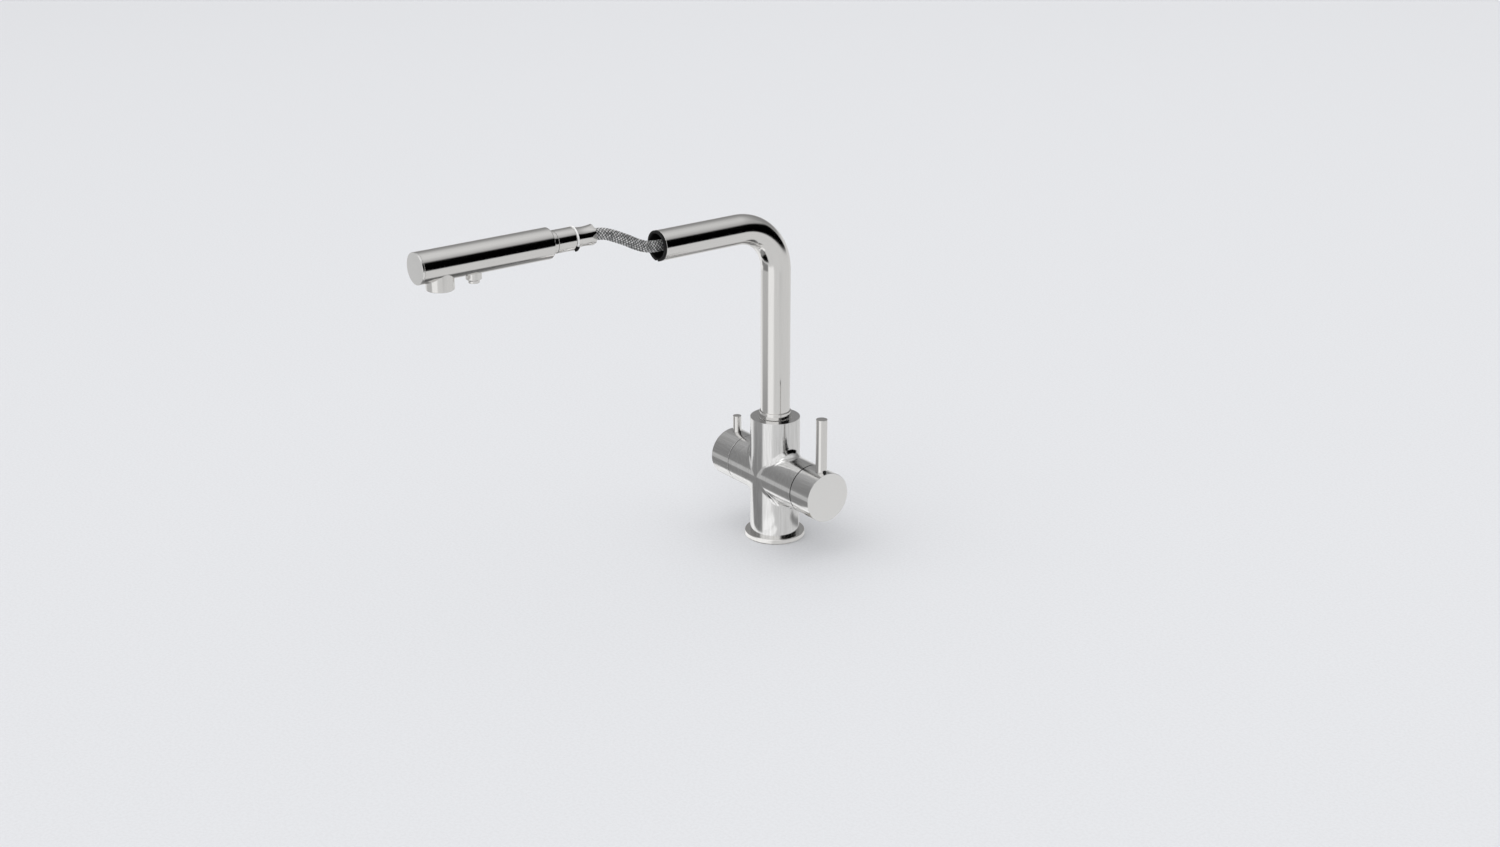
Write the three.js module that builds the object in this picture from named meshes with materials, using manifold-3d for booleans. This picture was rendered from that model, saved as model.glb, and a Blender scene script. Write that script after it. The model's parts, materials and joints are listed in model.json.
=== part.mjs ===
// A deck-mounted three way kitchen tap: hot and cold water on a side lever, filtered water on a
// second lever, an L-shaped spout and a pull-out head. Millimetres, +Z up, the worktop at Z = 0,
// the spout towards -Y, the mixer valve towards +X and the filter valve towards -X.
import * as THREE from 'three';
import { mergeVertices } from 'three/addons/utils/BufferGeometryUtils.js';
import Module from 'manifold-3d';

const wasm = await Module();
wasm.setup();

// ---------------------------------------------------------------- clearances and facets
const SEAT_GAP = 0.3; // between pieces that are cut by, or rest in, a neighbour
const RUNNING_GAP = 0.25; // around a piece that turns in a bore
const PASS = 1; // how far a cutting tool runs past the face it opens
const ROUND_SIDES = 36;
const SMALL_SIDES = 24;
const HOSE_SIDES = 8;
const SEAL_SIDES = 6;
const MERGE_DISTANCE = 1e-4;
const EDGE = 0.4; // the broken edge of a turned piece

// ---------------------------------------------------------------- driving dimensions
const BODY_RADIUS = 22.5; // the body, both housings and both knobs share it
const BODY_TOP = 115;
const VALVE_HEIGHT = 60.5;
const HOUSING_FILLET = 9;
const HOUSING_SLICES = 24;
const HOUSING_LAST_SLICE = THREE.MathUtils.degToRad(87);
const FILLET_POINTS = 6;

const HOSE_RADIUS = 5;
const HOSE_STEP = 14;
const HOSE_BODY_BORE = HOSE_RADIUS + 1.6;

const FLANGE_RADIUS = 27.4;
const FLANGE_THICKNESS = 4.8;
const FLANGE_LIFT = 0.3; // the flange stands this far off the worktop, on its gasket
const SHANK_RADIUS = 16;
const SHANK_WALL = 2.4;
const SHANK_BORE = SHANK_RADIUS - SHANK_WALL;
const SHANK_SOCKET_DEPTH = 21; // how far the shank screws into the body
const SHANK_SOCKET_TOP = FLANGE_THICKNESS + SHANK_SOCKET_DEPTH;
const GASKET_THICKNESS = 2.4;
const GASKET_MARGIN = 3; // the flange's metal inside and outside the gasket's groove
const GASKET_OUTER = FLANGE_RADIUS - GASKET_MARGIN;
const GASKET_INNER = SHANK_RADIUS + GASKET_MARGIN;

const WORKTOP_THICKNESS = 30;
const CLAMP_FACE = -WORKTOP_THICKNESS; // the washers press on the worktop's underside
const SHANK_BELOW_WORKTOP = 48;
const SHANK_BOTTOM = CLAMP_FACE - SHANK_BELOW_WORKTOP;
const RUBBER_WASHER_WIDTH = 10;
const RUBBER_WASHER_THICKNESS = 2.5;
const STEEL_WASHER_WIDTH = 9;
const STEEL_WASHER_THICKNESS = 2;
const MOUNTING_NUT_WIDTH = 7;
const MOUNTING_NUT_HEIGHT = 9;

const TAIL_RADIUS = 3.5;
const TAIL_BORE = 2.2;
const TAIL_CIRCLE = HOSE_RADIUS + TAIL_RADIUS + 1.1; // the tails stand round the hose
const TAIL_SOCKET_DEPTH = 8; // above the shank, in the body
const TAIL_BELOW_SHANK = 14;
const TAIL_BOTTOM = SHANK_BOTTOM - TAIL_BELOW_SHANK;
const TAIL_COLLAR_RADIUS = TAIL_RADIUS + 0.7;
const TAIL_COLLAR_LENGTH = 8;
const OUTLET_PIPE_RADIUS = 3.2;
const OUTLET_ELBOW_TOP = SHANK_BOTTOM - 6;
const OUTLET_ELBOW_DROP = 20;
const SOCKET_RADIUS = HOSE_RADIUS + 2.5;
const SOCKET_BORE = HOSE_RADIUS + 0.4;
const SOCKET_TOP = OUTLET_ELBOW_TOP - OUTLET_ELBOW_DROP;
const SOCKET_LENGTH = 22;
const SOCKET_ASIDE = 24;

const TUBE_RADIUS = 13.25; // the spout tube; the head's barrel is flush with it when docked
const TUBE_WALL = 1.3;
const TUBE_BEND = 43;
const TUBE_BEND_STEPS = 12;
const SPOUT_HEIGHT = 296;
const SPOUT_REACH = 125; // to the end of the metal tube
const SPOUT_FOOT_DEPTH = 23; // how far the tube reaches down into the body
const SPOUT_FOOT = BODY_TOP - SPOUT_FOOT_DEPTH;
const SPOUT_FOOT_ROOM = 4;
const BUSH_WALL = 1.2;
const BASE_RING_RADIUS = 14.3;
const BASE_RING_HEIGHT = 6;
const SEAL_THICKNESS = 0.6; // half the thickness of the rubber ring
const SEAL_HEIGHT = SPOUT_FOOT + 2;

const MIXER_SEAM = 50.5;
const MIXER_SEAM_GAP = 1;
const MIXER_KNOB_LENGTH = 25.2;
const MIXER_END = MIXER_SEAM + MIXER_SEAM_GAP + MIXER_KNOB_LENGTH;
const CARTRIDGE_RADIUS = 17.5;
const CARTRIDGE_LENGTH = 28;
const CARTRIDGE_NUT_LENGTH = 6.6;
const CARTRIDGE_NUT_BORE = 9.6;
const MIXER_BORE = CARTRIDGE_RADIUS + 2 * RUNNING_GAP;
const MIXER_BORE_DEPTH = CARTRIDGE_LENGTH + CARTRIDGE_NUT_LENGTH + 1.9;
const MIXER_BORE_FLOOR = MIXER_SEAM - MIXER_BORE_DEPTH;
const MIXER_SPINDLE_SIDE = 7; // square
const STEM_CARRIER_RADIUS = CARTRIDGE_NUT_BORE - 2 * RUNNING_GAP;
const STEM_CARRIER_BORE = 7.6;
const STEM_CARRIER_LENGTH = 3.4;
const MIXER_LEVER_INSET = 9.5; // from the knob's end disc to the lever's middle
const MIXER_LEVER_PLACE = MIXER_END - MIXER_LEVER_INSET;
const MIXER_LEVER_RADIUS = 5;
const MIXER_LEVER_REACH = 71.3; // above the valve's axis
const MIXER_LEVER_ROOT = 10.5;

const FILTER_SEAM = 41.5;
const FILTER_SEAM_GAP = 0.8;
const FILTER_KNOB_LENGTH = 24.7;
const FILTER_END = FILTER_SEAM + FILTER_SEAM_GAP + FILTER_KNOB_LENGTH;
const HEADWORK_RADIUS = 11;
const HEADWORK_LENGTH = 19;
const HEADWORK_NUT_LENGTH = 6;
const HEADWORK_NUT_BORE = 5.6;
const FILTER_BORE = HEADWORK_RADIUS + 2 * RUNNING_GAP;
const FILTER_BORE_DEPTH = HEADWORK_LENGTH + HEADWORK_NUT_LENGTH + 2.5;
const FILTER_BORE_FLOOR = FILTER_SEAM - FILTER_BORE_DEPTH;
const FILTER_SPINDLE_RADIUS = 4;
const FILTER_LEVER_INSET = 9.3;
const FILTER_LEVER_PLACE = FILTER_END - FILTER_LEVER_INSET;
const FILTER_LEVER_RADIUS = 3.9;
const FILTER_LEVER_REACH = 37.8;
const FILTER_LEVER_ROOT = 10;

const KNOB_WALL = 2.2;
const KNOB_END_WALL = 16.5; // the solid end that holds the lever and the spindle
const FILTER_KNOB_END_WALL = 15.5;
const SPINDLE_BITE = 8.5; // how deep a spindle reaches into its knob
const GRUB_RADIUS = 2.4;
const GRUB_LENGTH = 8;

const HEAD_HEIGHT = 316.8; // the drawn-out head is held this far above the worktop
const CONNECTOR_END = 191.3; // the head's places are distances from the tap's axis towards -Y
const CONNECTOR_LENGTH = 17.6;
const CONNECTOR_FRONT = CONNECTOR_END + CONNECTOR_LENGTH;
const CONNECTOR_WAIST = 8.2;
const CONNECTOR_FRONT_RADIUS = 9.1;
const CONNECTOR_FLARE_RADIUS = 9.3;
const CONNECTOR_FLATS = 6;
const CONNECTOR_FLAT = 8.4; // from the axis to a flat
const CONNECTOR_FLAT_LENGTH = 9;
const CONNECTOR_FLAT_TURN = 3; // degrees
const CONNECTOR_STEM = 6.4;
const CONNECTOR_STEM_LENGTH = 15;
const CONNECTOR_SOCKET = 11;
const WAIST_STEPS = 6;
const SWIVEL_RING_RADIUS = 10.5;
const SWIVEL_RING_LENGTH = 2;
const NECK_RADIUS = 9.9;
const NECK_BORE = CONNECTOR_STEM + 0.4;
const NECK_THREAD = NECK_RADIUS - 1.5;
const NECK_SLEEVE_LENGTH = 17;
const NECK_LENGTH = 4.8;
const NECK_END = CONNECTOR_FRONT + SWIVEL_RING_LENGTH + 2 * RUNNING_GAP;
const NECK_SEAM = NECK_END + NECK_SLEEVE_LENGTH;
const HEAD_REAR = NECK_SEAM + NECK_LENGTH;
const HEAD_LENGTH = 122.4;
const HEAD_FRONT = HEAD_REAR + HEAD_LENGTH;
const HEAD_WALL = 1.5;
const HEAD_REAR_WALL = 3;
const HEAD_REAR_CHAMFER = 1.6;
const CAP_THICKNESS = 1.8;
const CAP_SPIGOT = 4;
const WATERWAY_RADIUS = 3.6;
const CHECK_VALVE_LENGTH = 9;
const INSERT_ROOM = 6.8; // between the barrel's rear face and the insert

const NOZZLE_DROP = 7.25; // how far both nozzles stand out below the barrel
const NOZZLE_BOTTOM = HEAD_HEIGHT - TUBE_RADIUS - NOZZLE_DROP;
const NOZZLE_REACH = 6; // how far the nozzle threads reach into the barrel
const AERATOR_INSET = 21.5; // from the head's front disc
const AERATOR_PLACE = HEAD_FRONT - AERATOR_INSET;
const AERATOR_RADIUS = 11.5;
const AERATOR_BORE = 9;
const AERATOR_THREAD = 10;
const AERATOR_INSERT_SINK = 0.8;
const AERATOR_INSERT_HEIGHT = 6;
const JET_SPACING = 30.5;
const JET_PLACE = AERATOR_PLACE - JET_SPACING;
const JET_RADIUS = 6.6;
const JET_TIP_RADIUS = 4.7;
const JET_BORE = 3.1;
const JET_THREAD = 4.4;
const JET_STEP = 3.2;

const COLLAR_LIP = 2; // how far the docking collar stands out of the tube
const COLLAR_BORE = NECK_RADIUS + 0.7; // the head's neck docks in it
const COLLAR_DEPTH = 20;
const COLLAR_KEY_WIDTH = 3;
const COLLAR_KEY_DEPTH = 1.6;

const HOSE_JOINT = BODY_TOP + BASE_RING_HEIGHT; // the hose passes to the turning spout here
const COIL_RADIUS = 55;
const COIL_TURNS = 1.5;
const COIL_PITCH = 11.6;
const COIL_DROP = 74; // from the socket's mouth to the coil's middle
const COIL_CENTRE = SOCKET_TOP - SOCKET_LENGTH - COIL_DROP;
const COIL_POINTS = 24; // for each turn

// The middle of the free hose from the connector's socket to the mouth, as [share, share]
// of the way in and of the height between the spout's axis and the head's.
const FREE_HOSE = [
  [1, 1], [0.926, 1], [0.86, 1], [0.81, 0.99], [0.741, 0.952], [0.667, 0.875], [0.547, 0.678],
  [0.425, 0.452], [0.326, 0.25], [0.215, 0.077], [0.111, 0.01], [0, 0],
];
const FREE_HOSE_START = CONNECTOR_END + CONNECTOR_SOCKET - SEAT_GAP;
const FREE_HOSE_END = SPOUT_REACH - 4;

// ---------------------------------------------------------------- materials
function finish(color, roughness, metalness) {
  return new THREE.MeshStandardMaterial({ color, roughness, metalness });
}

const steel = () => finish(0xc9c7c2, 0.28, 1);
const steelDisc = () => finish(0xcfcecb, 0.4, 1);
const brass = () => finish(0xc0a062, 0.35, 1);
const blackPlastic = () => finish(0x121212, 0.45, 0);
const whitePlastic = () => finish(0xe9e9e6, 0.4, 0);
const greyPlastic = () => finish(0x8d9092, 0.5, 0);
const rubber = () => finish(0x1a1a1a, 0.8, 0);
const hoseBraid = () => finish(0x85888a, 0.6, 0);

// ---------------------------------------------------------------- solids from geometries
function signedVolume(points, triangles) {
  const a = new THREE.Vector3();
  const b = new THREE.Vector3();
  const c = new THREE.Vector3();
  let sum = 0;
  for (let i = 0; i < triangles.length; i += 3) {
    a.fromArray(points, 3 * triangles[i]);
    b.fromArray(points, 3 * triangles[i + 1]);
    c.fromArray(points, 3 * triangles[i + 2]);
    sum += a.dot(b.cross(c));
  }
  return sum;
}

// Turns a closed geometry into a solid that manifold-3d can cut and join.
function toSolid(geometry) {
  const bare = geometry.clone();
  bare.deleteAttribute('normal');
  bare.deleteAttribute('uv');
  const merged = mergeVertices(bare, MERGE_DISTANCE);
  const corners = merged.index.array;
  const triangles = [];
  for (let i = 0; i < corners.length; i += 3) {
    const [a, b, c] = [corners[i], corners[i + 1], corners[i + 2]];
    if (a !== b && b !== c && c !== a) {
      triangles.push(a, b, c);
    }
  }
  const vertProperties = new Float32Array(merged.attributes.position.array);
  if (signedVolume(vertProperties, triangles) < 0) {
    triangles.reverse();
  }
  const mesh = new wasm.Mesh({ numProp: 3, vertProperties, triVerts: new Uint32Array(triangles) });
  return new wasm.Manifold(mesh);
}

function toGeometry(solid) {
  const result = solid.getMesh();
  const geometry = new THREE.BufferGeometry();
  geometry.setAttribute('position', new THREE.BufferAttribute(result.vertProperties, 3));
  geometry.setIndex(new THREE.BufferAttribute(result.triVerts, 1));
  geometry.computeVertexNormals();
  return geometry;
}

function cut(solid, ...tools) {
  return tools.reduce((left, tool) => left.subtract(tool), solid);
}

function join(solid, ...others) {
  return others.reduce((whole, other) => whole.add(other), solid);
}

// ---------------------------------------------------------------- turned shapes
// A profile is a list of [radius, height]; it starts and ends on the axis or closes on itself.
function turned(profile, sides = ROUND_SIDES) {
  const points = profile.map(([radius, height]) => new THREE.Vector2(radius, height));
  return new THREE.LatheGeometry(points, sides).rotateX(Math.PI / 2);
}

function rodProfile(radius, low, high, edge = 0) {
  return [
    [0, low], [radius - edge, low], [radius, low + edge],
    [radius, high - edge], [radius - edge, high], [0, high],
  ].filter(([r, z], i, all) => i === 0 || r !== all[i - 1][0] || z !== all[i - 1][1]);
}

function ringProfile(inner, outer, low, high, edge = 0) {
  const corners = [
    [inner, low], [outer - edge, low], [outer, low + edge],
    [outer, high - edge], [outer - edge, high], [inner, high], [inner, low],
  ];
  return corners.filter(([r, z], i, all) => i === 0 || r !== all[i - 1][0] || z !== all[i - 1][1]);
}

function rod(radius, low, high, { edge = 0, sides = ROUND_SIDES } = {}) {
  return toSolid(turned(rodProfile(radius, low, high, edge), sides));
}

function ring(inner, outer, low, high, { edge = 0, sides = ROUND_SIDES } = {}) {
  return toSolid(turned(ringProfile(inner, outer, low, high, edge), sides));
}

// Turned shapes are made along Z and then laid along the valve axis or the head's axis.
function alongX(solid) {
  return solid.rotate([0, 90, 0]).translate([0, 0, VALVE_HEIGHT]);
}

function alongMinusX(solid) {
  return solid.rotate([0, -90, 0]).translate([0, 0, VALVE_HEIGHT]);
}

function alongHead(solid, height = HEAD_HEIGHT) {
  return solid.rotate([90, 0, 0]).translate([0, 0, height]);
}

function prism(points, low, high) {
  const shape = new THREE.Shape(points.map(([x, y]) => new THREE.Vector2(x, y)));
  const geometry = new THREE.ExtrudeGeometry(shape, { depth: high - low, bevelEnabled: false });
  return toSolid(geometry.translate(0, 0, low));
}

function block(width, depth, height, x, y, z) {
  return toSolid(new THREE.BoxGeometry(width, depth, height).translate(x, y, z));
}

function polygon(sides, acrossFlats) {
  const radius = acrossFlats / 2 / Math.cos(Math.PI / sides);
  return Array.from({ length: sides }, (_, i) => {
    const angle = (2 * Math.PI * (i + 0.5)) / sides;
    return [radius * Math.cos(angle), radius * Math.sin(angle)];
  });
}

// ---------------------------------------------------------------- lofts and tubes
// Joins rings of points, all of one length, and closes both ends with flat lids.
function loft(rings, lid) {
  const count = rings[0].length;
  const positions = rings.flat().flatMap((p) => [p.x, p.y, p.z]);
  const index = [];
  for (let r = 0; r + 1 < rings.length; r += 1) {
    for (let i = 0; i < count; i += 1) {
      const here = r * count + i;
      const next = r * count + ((i + 1) % count);
      index.push(here, next, next + count, here, next + count, here + count);
    }
  }
  const last = (rings.length - 1) * count;
  const clockwise = THREE.ShapeUtils.isClockWise(lid);
  for (const corners of THREE.ShapeUtils.triangulateShape(lid, [])) {
    const agrees = THREE.ShapeUtils.isClockWise(corners.map((i) => lid[i])) === clockwise;
    const [a, b, c] = agrees ? corners : [...corners].reverse();
    index.push(c, b, a, last + a, last + b, last + c);
  }
  const geometry = new THREE.BufferGeometry();
  geometry.setAttribute('position', new THREE.Float32BufferAttribute(positions, 3));
  geometry.setIndex(index);
  return toSolid(geometry);
}

// A round bar of the spout's route: straight up, one bend, straight out to the mouth.
function spoutBar(radius, foot, reach, sides) {
  const centre = [];
  centre.push({ y: 0, z: foot, angle: 0 });
  for (let i = 0; i <= TUBE_BEND_STEPS; i += 1) {
    const angle = (Math.PI / 2) * (i / TUBE_BEND_STEPS);
    const y = -TUBE_BEND * (1 - Math.cos(angle));
    const z = SPOUT_HEIGHT - TUBE_BEND * (1 - Math.sin(angle));
    centre.push({ y, z, angle });
  }
  centre.push({ y: -reach, z: SPOUT_HEIGHT, angle: Math.PI / 2 });
  const round = Array.from({ length: sides }, (_, i) => {
    const turn = (2 * Math.PI * i) / sides;
    return new THREE.Vector2(radius * Math.cos(turn), radius * Math.sin(turn));
  });
  const rings = centre.map(({ y, z, angle }) => round.map((p) => new THREE.Vector3(
    p.x,
    y + p.y * Math.cos(angle),
    z + p.y * Math.sin(angle),
  )));
  return loft(rings, round);
}

// A hose is a round section carried along a smooth curve through its chosen points.
function hose(points, radius = HOSE_RADIUS) {
  const curve = new THREE.CatmullRomCurve3(points, false, 'centripetal');
  const steps = Math.max(HOSE_SIDES, Math.ceil(curve.getLength() / HOSE_STEP));
  const section = new THREE.Shape(Array.from({ length: HOSE_SIDES }, (_, i) => {
    const turn = (2 * Math.PI * i) / HOSE_SIDES;
    return new THREE.Vector2(radius * Math.cos(turn), radius * Math.sin(turn));
  }));
  const geometry = new THREE.ExtrudeGeometry(section, { steps, extrudePath: curve });
  return { solid: toSolid(geometry), length: curve.getLength() };
}

// ---------------------------------------------------------------- the body and its fixings
// One upright slice of the body: a cross whose four inner corners are rounded.
function crossSection(half, left, right, low, high) {
  const fillet = HOUSING_FILLET * (half / BODY_RADIUS);
  const corner = (sx, sz) => {
    const points = Array.from({ length: FILLET_POINTS + 1 }, (_, i) => {
      const turn = (Math.PI / 2) * (i / FILLET_POINTS);
      const x = half + fillet * (1 - Math.cos(turn));
      const z = half + fillet * (1 - Math.sin(turn));
      return new THREE.Vector2(sx * x, VALVE_HEIGHT + sz * z);
    });
    return sx * sz > 0 ? points : points.reverse();
  };
  const at = (x, z) => new THREE.Vector2(x, z);
  return [
    at(half, high), ...corner(1, 1), at(right, VALVE_HEIGHT + half),
    at(right, VALVE_HEIGHT - half), ...corner(1, -1), at(half, low),
    at(-half, low), ...corner(-1, -1), at(-left, VALVE_HEIGHT - half),
    at(-left, VALVE_HEIGHT + half), ...corner(-1, 1), at(-half, high),
  ];
}

// The cast body: an upright cylinder crossed by the two valve housings, blended as one skin.
function bodySkin() {
  const sections = Array.from({ length: HOUSING_SLICES + 1 }, (_, i) => {
    const turn = HOUSING_LAST_SLICE * ((2 * i) / HOUSING_SLICES - 1);
    const half = BODY_RADIUS * Math.cos(turn);
    const outline = crossSection(half, FILTER_SEAM, MIXER_SEAM, FLANGE_THICKNESS, BODY_TOP);
    return { outline, depth: BODY_RADIUS * Math.sin(turn) };
  });
  const rings = sections.map(({ outline, depth }) => outline.map(
    (p) => new THREE.Vector3(p.x, depth, p.y),
  ));
  return loft(rings, sections[0].outline);
}

function tailPlace(index) {
  const angle = Math.PI / 4 + (Math.PI / 2) * index;
  return [TAIL_CIRCLE * Math.cos(angle), TAIL_CIRCLE * Math.sin(angle)];
}

function tapBody() {
  const boreFloor = SPOUT_FOOT - SPOUT_FOOT_ROOM;
  const spoutBore = rod(TUBE_RADIUS + BUSH_WALL + 2 * RUNNING_GAP, boreFloor, BODY_TOP + PASS);
  const hosePassage = rod(HOSE_BODY_BORE, 0, boreFloor + PASS, { sides: SMALL_SIDES });
  const shankBore = rod(SHANK_RADIUS + SEAT_GAP, FLANGE_THICKNESS - PASS, SHANK_SOCKET_TOP);
  const mixerBore = alongX(rod(MIXER_BORE, MIXER_BORE_FLOOR, MIXER_SEAM + PASS));
  const filterBore = alongMinusX(
    rod(FILTER_BORE, FILTER_BORE_FLOOR, FILTER_SEAM + PASS, { sides: SMALL_SIDES }),
  );
  const tailSockets = [0, 1, 2, 3].map((i) => {
    const [x, y] = tailPlace(i);
    const reach = SHANK_SOCKET_TOP + TAIL_SOCKET_DEPTH;
    return rod(TAIL_RADIUS + SEAT_GAP, SHANK_SOCKET_TOP - PASS, reach, { sides: SMALL_SIDES })
      .translate([x, y, 0]);
  });
  return cut(bodySkin(), spoutBore, hosePassage, shankBore, mixerBore, filterBore, ...tailSockets);
}

function baseFlange() {
  const grooveDepth = GASKET_THICKNESS + SEAT_GAP;
  const plate = ring(SHANK_RADIUS + SEAT_GAP, FLANGE_RADIUS, FLANGE_LIFT, FLANGE_THICKNESS, {
    edge: EDGE,
  });
  const groove = ring(
    GASKET_INNER - SEAT_GAP,
    GASKET_OUTER + SEAT_GAP,
    FLANGE_LIFT - PASS,
    grooveDepth,
  );
  return cut(plate, groove);
}

function deckGasket() {
  return ring(GASKET_INNER, GASKET_OUTER, 0, GASKET_THICKNESS);
}

function shank() {
  return ring(SHANK_BORE, SHANK_RADIUS, SHANK_BOTTOM, SHANK_SOCKET_TOP - SEAT_GAP);
}

function rubberWasher() {
  const low = CLAMP_FACE - RUBBER_WASHER_THICKNESS;
  return ring(SHANK_RADIUS + SEAT_GAP, SHANK_RADIUS + RUBBER_WASHER_WIDTH, low, CLAMP_FACE);
}

// The steel washer is open on one side, so that it slides in round the tails.
function steelWasher() {
  const high = CLAMP_FACE - RUBBER_WASHER_THICKNESS;
  const low = high - STEEL_WASHER_THICKNESS;
  const outer = SHANK_RADIUS + STEEL_WASHER_WIDTH;
  const disc = ring(SHANK_RADIUS + SEAT_GAP, outer, low, high);
  const slotHeight = STEEL_WASHER_THICKNESS + 2 * PASS;
  const slot = block(SHANK_RADIUS, 2 * outer, slotHeight, 0, outer, (low + high) / 2);
  return cut(disc, slot);
}

function mountingNut() {
  const high = CLAMP_FACE - RUBBER_WASHER_THICKNESS - STEEL_WASHER_THICKNESS;
  const low = high - MOUNTING_NUT_HEIGHT;
  const hex = prism(polygon(6, 2 * (SHANK_RADIUS + MOUNTING_NUT_WIDTH * Math.cos(Math.PI / 6))), low, high);
  return cut(hex, rod(SHANK_RADIUS + SEAT_GAP, low - PASS, high + PASS));
}

// An inlet tail: a thin tube screwed into the body, with a collar round its lower end.
function tail(index) {
  const [x, y] = tailPlace(index);
  const top = SHANK_SOCKET_TOP + TAIL_SOCKET_DEPTH - SEAT_GAP;
  const collarTop = TAIL_BOTTOM + TAIL_COLLAR_LENGTH;
  const tube = turned([
    [TAIL_BORE, TAIL_BOTTOM], [TAIL_COLLAR_RADIUS, TAIL_BOTTOM], [TAIL_COLLAR_RADIUS, collarTop],
    [TAIL_RADIUS, collarTop], [TAIL_RADIUS, top], [TAIL_BORE, top], [TAIL_BORE, TAIL_BOTTOM],
  ], SMALL_SIDES);
  return toSolid(tube).translate([x, y, 0]);
}

// The hose's socket hangs in line with the far end of the coil.
function socketPlace() {
  return [-SOCKET_ASIDE, -COIL_TURNS * COIL_PITCH];
}

// The mixed water leaves through a pipe that bends aside to a socket for the hose's end.
function outletPipe() {
  const [x, y] = tailPlace(2);
  const top = SHANK_SOCKET_TOP + TAIL_SOCKET_DEPTH - SEAT_GAP;
  const place = (px, py, z) => new THREE.Vector3(px, py, z);
  const [sx, sy] = socketPlace();
  const bend = hose([
    place(x, y, OUTLET_ELBOW_TOP + PASS),
    place(x, y, OUTLET_ELBOW_TOP - PASS),
    place((x + sx) / 2, (y + sy) / 2, (OUTLET_ELBOW_TOP + SOCKET_TOP) / 2),
    place(sx, sy, SOCKET_TOP + OUTLET_PIPE_RADIUS),
    place(sx, sy, SOCKET_TOP - PASS),
  ], OUTLET_PIPE_RADIUS).solid;
  const straight = rod(OUTLET_PIPE_RADIUS, OUTLET_ELBOW_TOP, top, { sides: HOSE_SIDES });
  return join(bend, straight.translate([x, y, 0]));
}

function hoseSocket() {
  const [x, y] = socketPlace();
  const low = SOCKET_TOP - SOCKET_LENGTH;
  const shell = rod(SOCKET_RADIUS, low, SOCKET_TOP, { edge: EDGE, sides: SMALL_SIDES });
  const hoseBore = rod(SOCKET_BORE, low - PASS, low + SOCKET_LENGTH / 2, { sides: SMALL_SIDES });
  const pipeBore = rod(OUTLET_PIPE_RADIUS + 2 * SEAT_GAP, SOCKET_TOP - PASS - SEAT_GAP, SOCKET_TOP + PASS, {
    sides: SMALL_SIDES,
  });
  return cut(shell, hoseBore, pipeBore).translate([x, y, 0]);
}

// ---------------------------------------------------------------- the spout
function spoutTube() {
  const outer = spoutBar(TUBE_RADIUS, SPOUT_FOOT, SPOUT_REACH, ROUND_SIDES);
  const inner = spoutBar(TUBE_RADIUS - TUBE_WALL, SPOUT_FOOT - PASS, SPOUT_REACH + PASS, SMALL_SIDES);
  return cut(outer, inner);
}

// Below the bush a rubber ring seals the tube; above it a ring covers the joint.
function spoutBush() {
  const inner = TUBE_RADIUS + RUNNING_GAP;
  const low = SEAL_HEIGHT + SEAL_THICKNESS + SEAT_GAP;
  return ring(inner, inner + BUSH_WALL, low, BODY_TOP - SEAT_GAP, { sides: SMALL_SIDES });
}

function spoutBaseRing() {
  const low = BODY_TOP + SEAT_GAP;
  return ring(TUBE_RADIUS + RUNNING_GAP, BASE_RING_RADIUS, low, BODY_TOP + BASE_RING_HEIGHT);
}

function spoutSeal() {
  const middle = TUBE_RADIUS + RUNNING_GAP + SEAL_THICKNESS;
  const seal = new THREE.TorusGeometry(middle, SEAL_THICKNESS, SEAL_SIDES, SMALL_SIDES);
  return toSolid(seal.translate(0, 0, SEAL_HEIGHT));
}

// The black collar in the mouth takes the head's neck when the head is docked.
function dockingCollar() {
  const sleeveOuter = TUBE_RADIUS - TUBE_WALL - SEAT_GAP;
  const lipStart = SPOUT_REACH + SEAT_GAP;
  const lipEnd = SPOUT_REACH + COLLAR_LIP;
  const profile = [
    [COLLAR_BORE, SPOUT_REACH - COLLAR_DEPTH], [sleeveOuter, SPOUT_REACH - COLLAR_DEPTH],
    [sleeveOuter, lipStart], [TUBE_RADIUS, lipStart],
    [TUBE_RADIUS, lipEnd], [COLLAR_BORE + EDGE, lipEnd],
    [COLLAR_BORE, lipEnd - EDGE], [COLLAR_BORE, SPOUT_REACH - COLLAR_DEPTH],
  ];
  const keyway = block(
    COLLAR_KEY_WIDTH,
    2 * COLLAR_LIP,
    2 * COLLAR_KEY_DEPTH,
    0,
    -lipEnd,
    SPOUT_HEIGHT - TUBE_RADIUS,
  );
  return cut(alongHead(toSolid(turned(profile)), SPOUT_HEIGHT), keyway);
}

// ---------------------------------------------------------------- the mixer valve
function mixerCartridge() {
  const start = MIXER_BORE_FLOOR + SEAT_GAP;
  const end = start + CARTRIDGE_LENGTH;
  return alongX(rod(CARTRIDGE_RADIUS, start, end, { edge: EDGE, sides: SMALL_SIDES }));
}

const CARTRIDGE_FACE = MIXER_BORE_FLOOR + SEAT_GAP + CARTRIDGE_LENGTH;

function mixerCartridgeNut() {
  const start = CARTRIDGE_FACE + SEAT_GAP;
  const end = start + CARTRIDGE_NUT_LENGTH;
  return alongX(ring(CARTRIDGE_NUT_BORE, CARTRIDGE_RADIUS, start, end, { sides: SMALL_SIDES }));
}

function mixerStemCarrier() {
  const start = CARTRIDGE_FACE + SEAT_GAP;
  const end = start + STEM_CARRIER_LENGTH;
  return alongX(ring(STEM_CARRIER_BORE, STEM_CARRIER_RADIUS, start, end, { sides: SMALL_SIDES }));
}

const MIXER_KNOB_FLOOR = MIXER_END - KNOB_END_WALL;

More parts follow.
